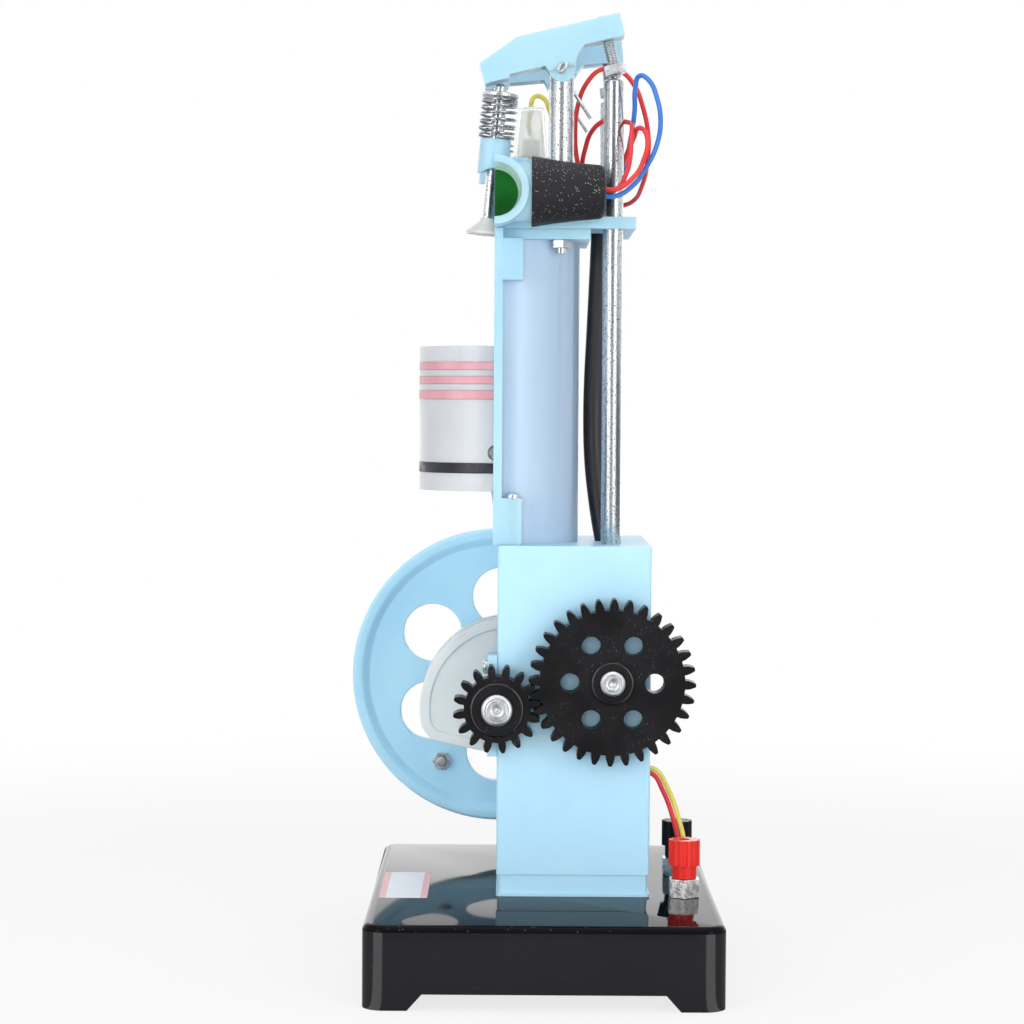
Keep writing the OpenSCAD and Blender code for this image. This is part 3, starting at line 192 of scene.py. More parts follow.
# drawn metal: long streaks and small pits of the plating
drawnMetal, given, made = startGroup(
    "drawnMetal", {"Vector": None, "Pit Vector": None, "Streak Scale": 400.0, "Pit Scale": 900.0},
    ["Streak", "Pits"])
streak = groupTexture(drawnMetal, "TexNoise", 200, given["Vector"], given["Streak Scale"], 5)
pits = groupTexture(drawnMetal, "TexNoise", -200, given["Pit Vector"], given["Pit Scale"], 3)
drawnMetal.links.new(ramp(drawnMetal, -100, 200, streak["Fac"], low=0.32, high=0.68), made["Streak"])
drawnMetal.links.new(ramp(drawnMetal, -100, -200, pits["Fac"], low=0.56, high=0.63), made["Pits"])


def startMaterial(name, spec):
    material = bpy.data.materials.new(name)
    material.use_nodes = True
    tree = material.node_tree
    shader = tree.nodes["Principled BSDF"]
    for label, value in spec.get("shader", {}).items():  # the same all over, so set on the shader itself
        shader.inputs[label].default_value = value
    return material, tree, shader, addNode(tree, "TexCoord", -1600, 0).outputs["Object"]


def useGroup(tree, group, x, y, place, values):
    node = addNode(tree, "Group", x, y)
    node.node_tree = group
    tree.links.new(place, node.inputs["Vector"])
    for label, value in values.items():
        join(tree, value, node.inputs[label])
    return node.outputs


def mixColour(tree, x, y, mask, first, second):
    node = addNode(tree, "Mix", x, y, data_type="RGBA")
    for label, value in (("Factor", mask), ("A", first), ("B", second)):
        join(tree, value, node.inputs[label])
    return node.outputs["Result"]


def bump(tree, shader, height, strength, distance=0.0001):
    node = addNode(tree, "Bump", -200, -500)
    for label, value in (("Strength", strength), ("Distance", distance), ("Height", height)):
        join(tree, value, node.inputs[label])
    tree.links.new(node.outputs["Normal"], shader.inputs["Normal"])


def mouldedPlastic(name, spec):
    material, tree, shader, place = startMaterial(name, spec)
    skin = useGroup(tree, mouldedSkin, -1100, 200, place,
                    {"Cloud Scale": spec["clouds"], "Grain Scale": spec["grain"]})
    colour = mixColour(tree, -700, 300, skin["Cloud"], paintCode(spec["colour"]), paintCode(spec["second"]))
    if "dust" in spec:
        dust = useGroup(tree, dustSpecks, -1100, -200, place, spec["dust"])
        colour = mixColour(tree, -400, 300, dust["Specks"], colour, paintCode(spec["dustColour"]))
    tree.links.new(colour, shader.inputs["Base Color"])
    tree.links.new(ramp(tree, -700, -100, skin["Cloud"], 0, 1, *spec["rough"]), shader.inputs["Roughness"])
    bump(tree, shader, skin["Grain"], spec["bump"])
    return material


def metalSkin(tree, shader, place, spec):  # colour and roughness of plated metal
    drawn = addNode(tree, "Mapping", -1400, 0)
    drawn.inputs["Scale"].default_value = spec.get("stretch", (1, 1, 1))
    tree.links.new(place, drawn.inputs["Vector"])
    metal = useGroup(tree, drawnMetal, -1100, 200, drawn.outputs["Vector"],
                     {"Pit Vector": place, "Streak Scale": spec["streaks"], "Pit Scale": spec["pits"]})
    colour = mixColour(tree, -700, 300, metal["Streak"], paintCode(spec["colour"]), paintCode(spec["second"]))
    colour = mixColour(tree, -400, 300, metal["Pits"], colour, paintCode(spec["pitColour"]))
    tree.links.new(colour, shader.inputs["Base Color"])
    tree.links.new(ramp(tree, -700, -100, metal["Streak"], 0, 1, *spec["rough"]), shader.inputs["Roughness"])
    shader.inputs["Metallic"].default_value = 1
    return metal


def drawnSteel(name, spec):
    material, tree, shader, place = startMaterial(name, spec)
    metal = metalSkin(tree, shader, place, spec)
    relief = mathStep(tree, -700, -400, "SUBTRACT", metal["Streak"], metal["Pits"])
    bump(tree, shader, relief, spec["bump"])
    return material


# plastics: two tones, roughness from one to the other, scales of the clouds and the grain
blueSkin = {"rough": (0.34, 0.44), "bump": 0.08, "clouds": 28, "grain": 2200}
blueDepth = {"Subsurface Weight": 0.25, "Subsurface Scale": 0.003, "Subsurface Radius": (0.7, 0.9, 1.0)}
skyPlastic = mouldedPlastic("skyPlastic", {
    **blueSkin, "colour": "#b5e1fa", "second": "#bde6fd", "shader": {**blueDepth, "Specular IOR Level": 0.3}})
# the case's blue painted darker for the head, rockers and cylinder flanges: painted shade on the upper engine
headBluePaintedShade = mouldedPlastic("headBluePaintedShade", {
    **blueSkin, "colour": "#a9d3e8", "second": "#b1d8eb",
    "shader": {"Subsurface Weight": 0.7, "Subsurface Scale": 0.005, "Subsurface Radius": (0.85, 0.95, 1.0),
               "Specular IOR Level": 0.4}})
wheelPlastic = mouldedPlastic("wheelPlastic", {
    "colour": "#b0e1fc", "second": "#b8e6fe", "rough": (0.36, 0.46), "bump": 0.08,
    "clouds": 24, "grain": 2200, "shader": {**blueDepth, "Specular IOR Level": 0.4}})
wipedSkin = {"rough": (0.03, 0.07), "bump": 0.01, "clouds": 18, "grain": 700}
basePlastic = mouldedPlastic("basePlastic", {
    **wipedSkin, "colour": "#19191c", "second": "#1c1c20",
    "dust": {"Speck Scale": 900, "Patch Scale": 26, "Sparse": 0.85}, "dustColour": "#4a4b51",
    "shader": {"Specular IOR Level": 0.5}})
# the top's black is painted darker than the sides' as painted shade under the top light; its specks are dust
baseTopDustAndShade = mouldedPlastic("baseTopDustAndShade", {
    **wipedSkin, "colour": "#0d0d10", "second": "#121215",
    "dust": {"Speck Scale": 900, "Patch Scale": 26, "Sparse": 0.8}, "dustColour": "#6a6b71",
    "shader": {"Specular IOR Level": 0.04}})
gearTones = {"colour": "#0d0c0f", "second": "#151417", "clouds": 60, "grain": 1600}
gearPlastic = mouldedPlastic("gearPlastic", {
    **gearTones, "rough": (0.36, 0.5), "bump": 0.2, "shader": {"Specular IOR Level": 0.22},
    "dust": {"Speck Scale": 1300, "Patch Scale": 60, "Sparse": 0.76}, "dustColour": "#7c7b81"})
rimPlastic = mouldedPlastic("rimPlastic", {
    **gearTones, "rough": (0.14, 0.22), "bump": 0.05, "shader": {"Specular IOR Level": 0.6}})
webPlastic = mouldedPlastic("webPlastic", {
    "colour": "#d3dcdf", "second": "#dfe6e7", "rough": (0.3, 0.42), "bump": 0.06, "clouds": 35, "grain": 1500,
    "shader": {"Subsurface Weight": 0.5, "Subsurface Scale": 0.006, "Subsurface Radius": (0.9, 1.0, 1.0)}})
# the piston's milky white, darkened as painted shade on the upper engine; the cams share it
pistonWhiteAndShade = mouldedPlastic("pistonWhiteAndShade", {
    "colour": "#c7cad1", "second": "#cfd2d6", "rough": (0.32, 0.42), "bump": 0.06,
    "clouds": 30, "grain": 1800,
    "shader": {"Subsurface Weight": 0.4, "Subsurface Scale": 0.005, "Subsurface Radius": (1.0, 1.0, 1.0)}})
# the rings' own pink, darkened as painted shade on the upper engine
ringPinkAndShade = mouldedPlastic("ringPinkAndShade", {
    "colour": "#d297a2", "second": "#dda9b2", "rough": (0.4, 0.55), "bump": 0.2, "clouds": 90, "grain": 1500})
oilRingDark = mouldedPlastic("oilRingDark", {
    "colour": "#1a1826", "second": "#2c293b", "rough": (0.3, 0.55), "bump": 0.5, "clouds": 160, "grain": 900})
valveMilky = mouldedPlastic("valveMilky", {
    "colour": "#cfcfcd", "second": "#dbdbd8", "rough": (0.35, 0.5), "bump": 0.1, "clouds": 90, "grain": 1800,
    "shader": {"Subsurface Weight": 0.4, "Subsurface Scale": 0.003}})
bootRubber = mouldedPlastic("bootRubber", {
    "colour": "#161519", "second": "#201f23", "rough": (0.5, 0.68), "bump": 0.3, "clouds": 70, "grain": 1400,
    "dust": {"Speck Scale": 1400, "Patch Scale": 36, "Sparse": 0.66}, "dustColour": "#e2e0e0",
    "shader": {"Specular IOR Level": 0.3}})
sleeveBlack = mouldedPlastic("sleeveBlack", {
    "colour": "#17171a", "second": "#222226", "rough": (0.38, 0.55), "bump": 0.25, "clouds": 60, "grain": 800,
    "dust": {"Speck Scale": 900, "Patch Scale": 50}, "dustColour": "#55555a"})
redPlastic = mouldedPlastic("redPlastic", {
    "colour": "#de241c", "second": "#e92f25", "rough": (0.25, 0.38), "bump": 0.1,
    "clouds": 80, "grain": 1600, "shader": {"Specular IOR Level": 0.35}})
wireSkin = {"rough": (0.38, 0.5), "bump": 0.1, "clouds": 120, "grain": 2000}
wireRed = mouldedPlastic("wireRed", {**wireSkin, "colour": "#d92c30", "second": "#e43b3d"})
wireBlue = mouldedPlastic("wireBlue", {**wireSkin, "colour": "#2f6fc6", "second": "#3c7ed4"})
wireYellow = mouldedPlastic("wireYellow", {**wireSkin, "colour": "#dccf57", "second": "#e6da6e"})
greenLens = mouldedPlastic("greenLens", {
    "colour": "#043709", "second": "#0a611d", "rough": (0.12, 0.22), "bump": 0.05, "clouds": 70, "grain": 900,
    "shader": {"Specular IOR Level": 0.2, "Coat Weight": 0.15, "Coat Roughness": 0.08}})
redLens = mouldedPlastic("redLens", {
    "colour": "#a81416", "second": "#bd1b1c", "rough": (0.12, 0.22), "bump": 0.05,
    "clouds": 120, "grain": 900, "shader": {"Coat Weight": 0.6, "Coat Roughness": 0.08}})
bulbGlass = mouldedPlastic("bulbGlass", {
    "colour": "#f4efdc", "second": "#fbf7ea", "rough": (0.08, 0.16), "bump": 0.03,
    "clouds": 90, "grain": 900, "shader": {"Transmission Weight": 0.3, "IOR": 1.5}})
capClear = mouldedPlastic("capClear", {
    "colour": "#f8f9f8", "second": "#fdfdfb", "rough": (0.16, 0.24), "bump": 0.03,
    "clouds": 70, "grain": 1200, "shader": {"Transmission Weight": 0.62, "IOR": 1.08}})
# cooler, darker blue for the cylinder walls: painted shade on the same plastic as the flanges
borePaintedShade = mouldedPlastic("borePaintedShade", {
    "colour": "#b1c9e0", "second": "#b7cee3", "rough": (0.3, 0.4), "bump": 0.06, "clouds": 20, "grain": 2200,
    "shader": {**blueDepth, "Subsurface Radius": (0.8, 0.9, 1.0)}})
wallSkin = {"rough": (0.3, 0.5), "bump": 0.3, "clouds": 260, "grain": 900}
# port wall tints: painted light in the colours of the green and red lenses
greenLightWall = mouldedPlastic("greenLightWall", {**wallSkin, "colour": "#b3dccb", "second": "#cdeadf"})
redLightWall = mouldedPlastic("redLightWall", {**wallSkin, "colour": "#dfc7cd", "second": "#ecdade"})
paperSkin = {"rough": (0.4, 0.5), "bump": 0.04, "grain": 2500}
labelWhite = mouldedPlastic("labelWhite", {
    **paperSkin, "colour": "#eff1f7", "second": "#f6f7fb", "clouds": 60})
labelPink = mouldedPlastic("labelPink", {
    **paperSkin, "colour": "#efa9ae", "second": "#f6c3c6", "clouds": 420})

# metals: two tones, colour of the pits, roughness, scales of the streaks and the pits
zincPost = drawnSteel("zincPost", {  # drawn along Z
    "colour": "#b4b8bd", "second": "#e0e3e5", "pitColour": "#60646a", "rough": (0.18, 0.3), "bump": 0.22,
    "stretch": (1, 1, 0.03), "streaks": 340, "pits": 1700})
zincSteel = drawnSteel("zincSteel", {
    "colour": "#bcc0c4", "second": "#dee1e3", "pitColour": "#a9adb0", "rough": (0.3, 0.44), "bump": 0.08,
    "streaks": 260, "pits": 1100})
springSteel = drawnSteel("springSteel", {
    "colour": "#8f9499", "second": "#c3c7cb", "pitColour": "#5d6166", "rough": (0.2, 0.32), "bump": 0.08,
    "streaks": 500, "pits": 900})
nickel = drawnSteel("nickel", {
    "colour": "#e2e4e4", "second": "#fcfcfb", "pitColour": "#b4b9bd", "rough": (0.2, 0.4), "bump": 0.3,
    "streaks": 420, "pits": 900})


def turnedSteel(name, spec):  # shaft along X with the lathe's rings on its end
    material, tree, shader, place = startMaterial(name, spec)
    centre = addNode(tree, "Mapping", -1400, -300)
    centre.inputs["Location"].default_value = -mm(0, *spec["axis"])
    tree.links.new(place, centre.inputs["Vector"])
    rings = addNode(tree, "TexWave", -1100, -300, wave_type="RINGS", rings_direction="X")
    for label, value in (("Vector", centre.outputs["Vector"]), ("Scale", spec["ringScale"]),
                         ("Distortion", spec["ringWaver"])):
        join(tree, value, rings.inputs[label])
    metalSkin(tree, shader, place, spec)
    bump(tree, shader, rings.outputs["Fac"], spec["bump"])
    return material


lathed = {"colour": "#ccd0d2", "second": "#d9dcde", "pitColour": "#bcc0c2", "rough": (0.36, 0.46),
          "bump": 0.7, "ringScale": 300, "ringWaver": 0.4, "streaks": 900, "pits": 2300}
crankSteel = turnedSteel("crankSteel", {**lathed, "axis": (engine["frontY"], engine["crankZ"])})
camSteel = turnedSteel("camSteel", {**lathed, "axis": (engine["camY"], engine["camZ"])})
print("materials made:", len(bpy.data.materials))


# mesh helpers: gaps in metres, turns in degrees
meshRules = {"weldGap": 2e-6, "cutGap": 1e-7, "faceSlack": 1e-5, "flatTurn": 0.2, "bevelTurn": 38,
             "sharpTurn": 32}


def settle(bm, name, paints, body, stands=(), sharp=meshRules["sharpTurn"]):
    mesh = bpy.data.meshes.new(name)
    bm.to_mesh(mesh)
    bm.free()
    mesh.shade_smooth()
    mesh.set_sharp_from_angle(angle=math.radians(sharp))
    for paint in paints:
        mesh.materials.append(paint)
    piece = bpy.data.objects.new(name, mesh)
    scene.collection.objects.link(piece)
    if body:
        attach(piece, body)
    if stands:
        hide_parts(*stands)
    return piece


def settleNode(bm, node, label, paints):  # stands in for one node, on that node's body
    return settle(bm, node + label, paints, bodyOf[node], [node])


def weld(bm):
    bmesh.ops.remove_doubles(bm, verts=bm.verts, dist=meshRules["weldGap"])


def lift(bm, faces, way):  # raises faces, with walls round them; gives the raised corners
    raised = bmesh.ops.extrude_face_region(bm, geom=faces)["geom"]
    corners = [part for part in raised if isinstance(part, bmesh.types.BMVert)]
    bmesh.ops.translate(bm, verts=corners, vec=way)
    return corners


def copyNode(name):
    bm = bmesh.new()
    bm.from_mesh(nodes[name].data)
    weld(bm)
    bmesh.ops.dissolve_limit(bm, angle_limit=math.radians(meshRules["flatTurn"]),
                             verts=bm.verts, edges=bm.edges)
    return bm


def roundEdges(piece, width, steps=2):  # width in millimetres
    edge = piece.modifiers.new("roundEdges", "BEVEL")
    edge.width = width * 0.001
    edge.segments = steps
    edge.limit_method = "ANGLE"
    edge.angle_limit = math.radians(meshRules["bevelTurn"])
    edge.harden_normals = True
    edge.use_clamp_overlap = True
    return piece


# moulded and turned pieces: finish and edge radius in millimetres
easedPieces = {
    "crankcase": (skyPlastic, 0.5), "bearing_cap_near": (skyPlastic, 0.5),
    "bearing_cap_far": (skyPlastic, 0.5), "cylinder_head": (headBluePaintedShade, 0.4),
    "inlet_rocker": (headBluePaintedShade, 0.6), "exhaust_rocker": (headBluePaintedShade, 0.6),
    "connecting_rod": (skyPlastic, 0.5), "flywheel": (wheelPlastic, 0.5),
    "crank_web_near": (webPlastic, 0.7), "crank_web_far": (webPlastic, 0.7),
    "inlet_cam": (pistonWhiteAndShade, 0.3), "exhaust_cam": (pistonWhiteAndShade, 0.3),
    "piston": (pistonWhiteAndShade, 0.4), "piston_rings": (ringPinkAndShade, 0.25), "oil_ring": (oilRingDark, 0.4),
    "wrist_pin": (zincSteel, 0.3), "crank_pin": (zincSteel, 0.3), "crank_stub_near": (crankSteel, 0.15),
    "crank_stub_far": (crankSteel, 0.15), "camshaft": (camSteel, 0.15), "rocker_posts": (zincPost, 0.3),
    "post_nuts": (zincSteel, 0.35), "handle_nut": (zincSteel, 0.35), "handle_bolt": (zincSteel, 0.35),
    "handle_grip": (gearPlastic, 0.8), "inlet_push_rod": (zincPost, 0.25),
    "exhaust_push_rod": (zincPost, 0.25), "inlet_spring_washer": (zincSteel, 0.3),
    "exhaust_spring_washer": (zincSteel, 0.3), "inlet_rocker_pin": (zincSteel, 0.1),
    "exhaust_rocker_pin": (zincSteel, 0.1), "inlet_lens": (greenLens, 0.2),
    "exhaust_lens": (redLens, 0.2), "lamp_bulbs": (bulbGlass, 0.2), "spark_lamp": (bulbGlass, 0.3),
    "spark_cap": (capClear, 0.3), "terminal_collars": (nickel, 0.4), "terminal_studs": (nickel, 0.2),
    "red_terminal_cap": (redPlastic, 0.35), "black_terminal_cap": (gearPlastic, 0.35)}
for name, (paint, width) in easedPieces.items():
    roundEdges(settleNode(copyNode(name), name, "Eased", [paint]), width)
print("eased pieces:", len(easedPieces))

# gears: the rim of each boss is rounder than the teeth
gearShape = {"rim": 0.8, "steps": 4, "edge": 0.25, "boreShare": 0.8}


def makeGear(name):
    bm = copyNode(name)
    middle, face = boxOf(name)[1] * 0.001, boxOf(name)[2].x * 0.001 - meshRules["faceSlack"]
    reach = {edge: min((vert.co - middle).yz.length for vert in edge.verts)
             for edge in bm.edges if min(vert.co.x for vert in edge.verts) > face}
    rims = [edge for edge, away in reach.items() if away > gearShape["boreShare"] * max(reach.values())]
    bmesh.ops.bevel(bm, geom=rims, offset=gearShape["rim"] * 0.001, offset_type="OFFSET",
                    segments=gearShape["steps"], profile=0.5, affect="EDGES", material=1)
    return roundEdges(settleNode(bm, name, "Eased", [gearPlastic, rimPlastic]), gearShape["edge"])


for name in ("crank_pinion", "cam_gear"):
    makeGear(name)

# cylinder: walls round the bore painted in a cooler, darker tone than its flanges, as painted shade
cylinderShape = {"wallOuter": 33.2, "facing": 0.9, "edge": 0.35}


def makeCylinder():
    bm = copyNode("cut_cylinder")
    axis = boxOf("piston")[1] * 0.001
    for face in bm.faces:
        out = face.calc_center_median() - axis
        out.z = 0
        wall = out.length < cylinderShape["wallOuter"] * 0.001
        face.material_index = int(wall and abs(face.normal.dot(out.normalized())) > cylinderShape["facing"])
    piece = settle(bm, "cutCylinderEased", [headBluePaintedShade, borePaintedShade], bodyOf["cut_cylinder"],
                   ["cut_cylinder"])
    return roundEdges(piece, cylinderShape["edge"])


makeCylinder()

# base: rounded edges, its top and rim wiped duller than its sides and painted darker than them, as painted
# shade under the light from above
baseShape = {"edge": 1.5, "steps": 4, "upright": 0.08, "rimDeep": 3}


def makeBase():
    bm = copyNode("base")
    for face in bm.faces:
        under = engine["baseTop"] - face.calc_center_median().z * 1000
        face.material_index = int(face.normal.z > baseShape["upright"] and under < baseShape["rimDeep"])
    piece = settleNode(bm, "base", "Eased", [basePlastic, baseTopDustAndShade])
    return roundEdges(piece, baseShape["edge"], baseShape["steps"])


makeBase()


# turned pieces: profile of (radius, way along the axis) in millimetres, spun about the axis
def lathe(bm, profile, foot, axis, side, steps):
    ring = [bm.verts.new(foot + (side * r + axis * a) * 0.001) for r, a in profile]
    edges = [bm.edges.new(pair) for pair in zip(ring, ring[1:])]
    bmesh.ops.spin(bm, geom=ring + edges, cent=foot, axis=axis, dvec=(0, 0, 0),
                   angle=2 * math.pi, steps=steps, use_merge=True)
    weld(bm)
    bmesh.ops.recalc_face_normals(bm, faces=bm.faces)


def arc(centre, radius, first, last, steps):  # points of a round stretch in a profile
    turns = [math.radians(first + (last - first) * i / steps) for i in range(steps + 1)]
    return [(centre[0] + radius * math.cos(a), centre[1] + radius * math.sin(a)) for a in turns]


def onAxis(name, axis):  # middle of a turned node, and how far it reaches along its axis, in millimetres
    points = [v.co for v in nodes[name].data.vertices]
    middle = sum(points, Vector()) / len(points)
    reach = [(p - middle).dot(axis) * 1000 for p in points]
    return middle, min(reach), max(reach)


acrossX = Vector((1, 0, 0))
alongY = Vector((0, 1, 0))
upZ = Vector((0, 0, 1))

# lamp boots: tapered rubber with a thick mouth and a rounded end
bootShape = {"mouthY": 14, "mouthR": 13.4, "endR": 10.25, "bore": 11.7, "boreDeep": 8, "lip": 0.6,
             "round": 2.6, "waist": 0.35, "lipSteps": 4, "endSteps": 8, "sides": 96,
             "flank": (0.15, 0.3, 0.45, 0.6, 0.75, 0.9)}  # shares of the way along the flank


def makeBoots():
    mouth, end = bootShape["mouthY"], bootEnd
    lip, soft = bootShape["lip"], bootShape["round"]
    flank = [(bootShape["mouthR"] + (bootShape["endR"] - bootShape["mouthR"]) * share
              - bootShape["waist"] * math.sin(math.pi * share),
              mouth + lip + (end - soft - mouth - lip) * share) for share in bootShape["flank"]]
    profile = ([(bootShape["bore"], mouth + bootShape["boreDeep"])]
               + arc((bootShape["bore"] + lip, mouth + lip), lip, 180, 270, bootShape["lipSteps"])
               + arc((bootShape["mouthR"] - lip, mouth + lip), lip, 270, 360, bootShape["lipSteps"])
               + flank + arc((bootShape["endR"] - soft, end - soft), soft, 0, 90, bootShape["endSteps"])
               + [(0, end)])
    bm = bmesh.new()
    for side in (-1, 1):
        foot = mm(engine["middleX"] + side * bootDx, engine["headY"], engine["portZ"])
        lathe(bm, profile, foot, alongY, acrossX, bootShape["sides"])
    return settle(bm, "lampBoots", [bootRubber], "frame_body", ["lamp_boots"])


makeBoots()

# valves: steel stem in a milky cone foot
valveShape = {"lean": 5.1, "footR": 8, "footBevel": 0.2, "edge": 1, "cone": 5.4, "throatR": 3.3,
              "throatUnder": 1.3, "collarR": 2.9, "collarBevel": 0.1, "stemR": 2.4, "tipR": 1,
              "tipBevel": 1.2, "sides": 40}
lean = math.radians(valveShape["lean"])
valveAxis = Vector((0, math.sin(lean), math.cos(lean)))


def makeValve(name):
    middle, low, high = onAxis(name, valveAxis)
    coneTop = low + valveShape["edge"] + valveShape["cone"]
    stemFoot, footR, stemR = coneTop + valveShape["collarBevel"], valveShape["footR"], valveShape["stemR"]
    profile = [(0, low), (footR - valveShape["footBevel"], low), (footR, low + valveShape["footBevel"]),
               (footR, low + valveShape["edge"]),
               (valveShape["throatR"], coneTop - valveShape["throatUnder"]), (valveShape["collarR"], coneTop),
               (stemR, stemFoot), (stemR, high - valveShape["tipBevel"]), (valveShape["tipR"], high),
               (0, high)]
    bm = bmesh.new()
    lathe(bm, profile, middle, valveAxis, acrossX, valveShape["sides"])
    for face in bm.faces:
        along = (face.calc_center_median() - middle).dot(valveAxis) * 1000
        face.material_index = int(along < (coneTop + stemFoot) / 2)
    return settleNode(bm, name, "Turned", [zincPost, valveMilky])


for name in ("inlet_valve", "exhaust_valve"):
    makeValve(name)

# valve springs: most of a close curl at each end, open curls between
springShape = {"outside": 14.5, "wire": 1.0, "curls": 6.5, "closeCurls": 0.75, "closeStep": 1.15, "sides": 10,
               "perCurl": 32, "sharpTurn": 60}


def makeSpring(name):
    washer = onAxis(name.replace("spring", "spring_washer"), valveAxis)[0]
    reach = [(v.co - washer).dot(valveAxis) for v in nodes[name].data.vertices]
    low, high = min(reach), max(reach)
    wireR, curlR = springShape["wire"] * 0.0005, (springShape["outside"] - springShape["wire"]) * 0.0005
    start = washer + valveAxis * (low + wireR) + acrossX * curlR
    bm = bmesh.new()
    turns = [2 * math.pi * i / springShape["sides"] for i in range(springShape["sides"])]
    ring = [bm.verts.new(start + (acrossX * math.cos(a) + valveAxis * math.sin(a)) * wireR) for a in turns]
    geom = ring + [bm.edges.new((a, b)) for a, b in zip(ring, ring[1:] + ring[:1])]
    bm.faces.new(ring)
    closeRise = springShape["closeStep"] * 0.001 * springShape["closeCurls"]
    openCurls = springShape["curls"] - 2 * springShape["closeCurls"]
    for curls, rise in ((springShape["closeCurls"], closeRise),
                        (openCurls, high - low - 2 * wireR - 2 * closeRise),
                        (springShape["closeCurls"], closeRise)):
        steps = round(curls * springShape["perCurl"])
        made = bmesh.ops.spin(bm, geom=geom, cent=washer, axis=valveAxis, dvec=valveAxis * (rise / steps),
                              angle=2 * math.pi * curls, steps=steps)
        geom = [part for part in made["geom_last"] if not isinstance(part, bmesh.types.BMFace)]
    bm.faces.new([part for part in geom if isinstance(part, bmesh.types.BMVert)])
    bmesh.ops.recalc_face_normals(bm, faces=bm.faces)
    piece = settle(bm, name + "Coil", [springSteel], None, [name], springShape["sharpTurn"])
    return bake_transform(piece)


for kind in ("inlet", "exhaust"):
    makeSpring(kind + "_spring")

# adjusting screws: thread, lock nut and domed foot, square to the tilted rockers
screwShape = {"pitch": 1.0, "rootR": 1.9, "crestR": 2.45, "crest": (0.44, 0.56), "perTurn": 24, "domeR": 4,
              "tip": 0.3, "tipR": 1.5, "nutUnder": 2.4, "nutR": 4.62, "nutThick": 4, "nutEdge": 0.45,
              "domeSteps": 6, "sides": 32, "tilt": {"inlet": 13.5, "exhaust": 5.5}}


def makeScrew(kind):
    name = kind + "_adjuster"
    tilt = math.radians(screwShape["tilt"][kind])
    axis = Vector((0, -math.sin(tilt), math.cos(tilt)))
    middle, low, high = onAxis(name, axis)
    side = acrossX.cross(axis)
    foot = middle + axis * low * 0.001
    length, pitch, rootR = high - low, screwShape["pitch"], screwShape["rootR"]
    neck = length - screwShape["tip"]
    bm = bmesh.new()
    rim = math.degrees(math.acos(rootR / screwShape["domeR"]))
    dome = arc((0, screwShape["domeR"]), screwShape["domeR"], -90, -rim, screwShape["domeSteps"])
    lathe(bm, dome + [(rootR, neck), (screwShape["tipR"], length), (0, length)], foot, axis, side,
          screwShape["sides"])
    bottom = dome[-1][1]
    turns = int((neck - bottom) / pitch) - 1
    crest = [(screwShape["crestR"], pitch * share) for share in screwShape["crest"]]
    thread = [(rootR, 0)] + crest + [(rootR, pitch)]
    ring = [bm.verts.new(foot + (side * r + axis * (bottom + a)) * 0.001) for r, a in thread]
    edges = [bm.edges.new(pair) for pair in zip(ring, ring[1:])]
    bmesh.ops.spin(bm, geom=ring + edges, cent=foot, axis=axis, angle=2 * math.pi * turns,
                   dvec=axis * (pitch * 0.001 / screwShape["perTurn"]), steps=turns * screwShape["perTurn"])
    nutFoot = foot + axis * (screwShape["domeR"] - screwShape["nutUnder"]) * 0.001
    corners = [math.radians(30 + 60 * k) for k in range(6)]
    lower = [bm.verts.new(nutFoot + (side * math.cos(a) + acrossX * math.sin(a)) * screwShape["nutR"] * 0.001)
             for a in corners]
    upper = lift(bm, [bm.faces.new(lower)], axis * screwShape["nutThick"] * 0.001)
    rims = [edge for edge in bm.edges for ends in (lower, upper) if all(vert in ends for vert in edge.verts)]
    bmesh.ops.bevel(bm, geom=rims, offset=screwShape["nutEdge"] * 0.001, offset_type="OFFSET", segments=2,
                    profile=0.5, affect="EDGES", material=-1)
    weld(bm)
    bmesh.ops.recalc_face_normals(bm, faces=bm.faces)
    return settleNode(bm, name, "Screw", [zincSteel])


for kind in screwShape["tilt"]:
    makeScrew(kind)
print("boots, valves, springs and adjusting screws made")

# pan head screws: which way each node's heads face; cross recess cut into the flat of the head
panShape = {"headR": 2.8, "headT": 2, "flatR": 1.7, "crown": 1.1, "crownSteps": 5, "shankR": 1.5, "sides": 36,
            "slotWide": 0.5, "slotLong": 2.4, "slotDeep": 0.9, "firstTurn": 20, "nextTurn": 37}
panHeads = {"case_screws": -upZ, "cap_screws": -alongY, "cylinder_screws": upZ}


def looseParts(name):  # corner points of each separate solid in a node
    bm = copyNode(name)
    found, groups = set(), []
    for first in bm.verts:
        fresh, held = [first], []
        while fresh:
            vert = fresh.pop()
            if vert not in found:
                found.add(vert)
                held.append(vert.co.copy())
                fresh += [edge.other_vert(vert) for edge in vert.link_edges]
        if held:
            groups.append(held)
    bm.free()
    return groups


def cutRecess(bm, top, axis, ways):
    half, reach = panShape["slotWide"] * 0.0005, panShape["slotLong"] * 0.0005
    for way in ways:
        for away in (-reach, -half, half, reach):
            flat = [face for face in bm.faces
                    if (face.calc_center_median() - top).dot(axis) > -meshRules["faceSlack"]
                    and (face.calc_center_median() - top).length < panShape["flatR"] * 0.001]
            parts = dict.fromkeys(flat)
            for face in flat:
                parts.update(dict.fromkeys([*face.edges, *face.verts]))
            bmesh.ops.bisect_plane(bm, geom=list(parts), dist=meshRules["cutGap"],
                                   plane_co=top + way * away, plane_no=way)
    arms = []
    for face in bm.faces:
        place = face.calc_center_median() - top
        along = sorted(abs(place.dot(way)) for way in ways)
        if place.dot(axis) > -meshRules["faceSlack"] and along[0] < half and along[1] < reach:
            arms.append(face)
    lift(bm, arms, axis * -panShape["slotDeep"] * 0.001)
    bmesh.ops.delete(bm, geom=arms, context="FACES")


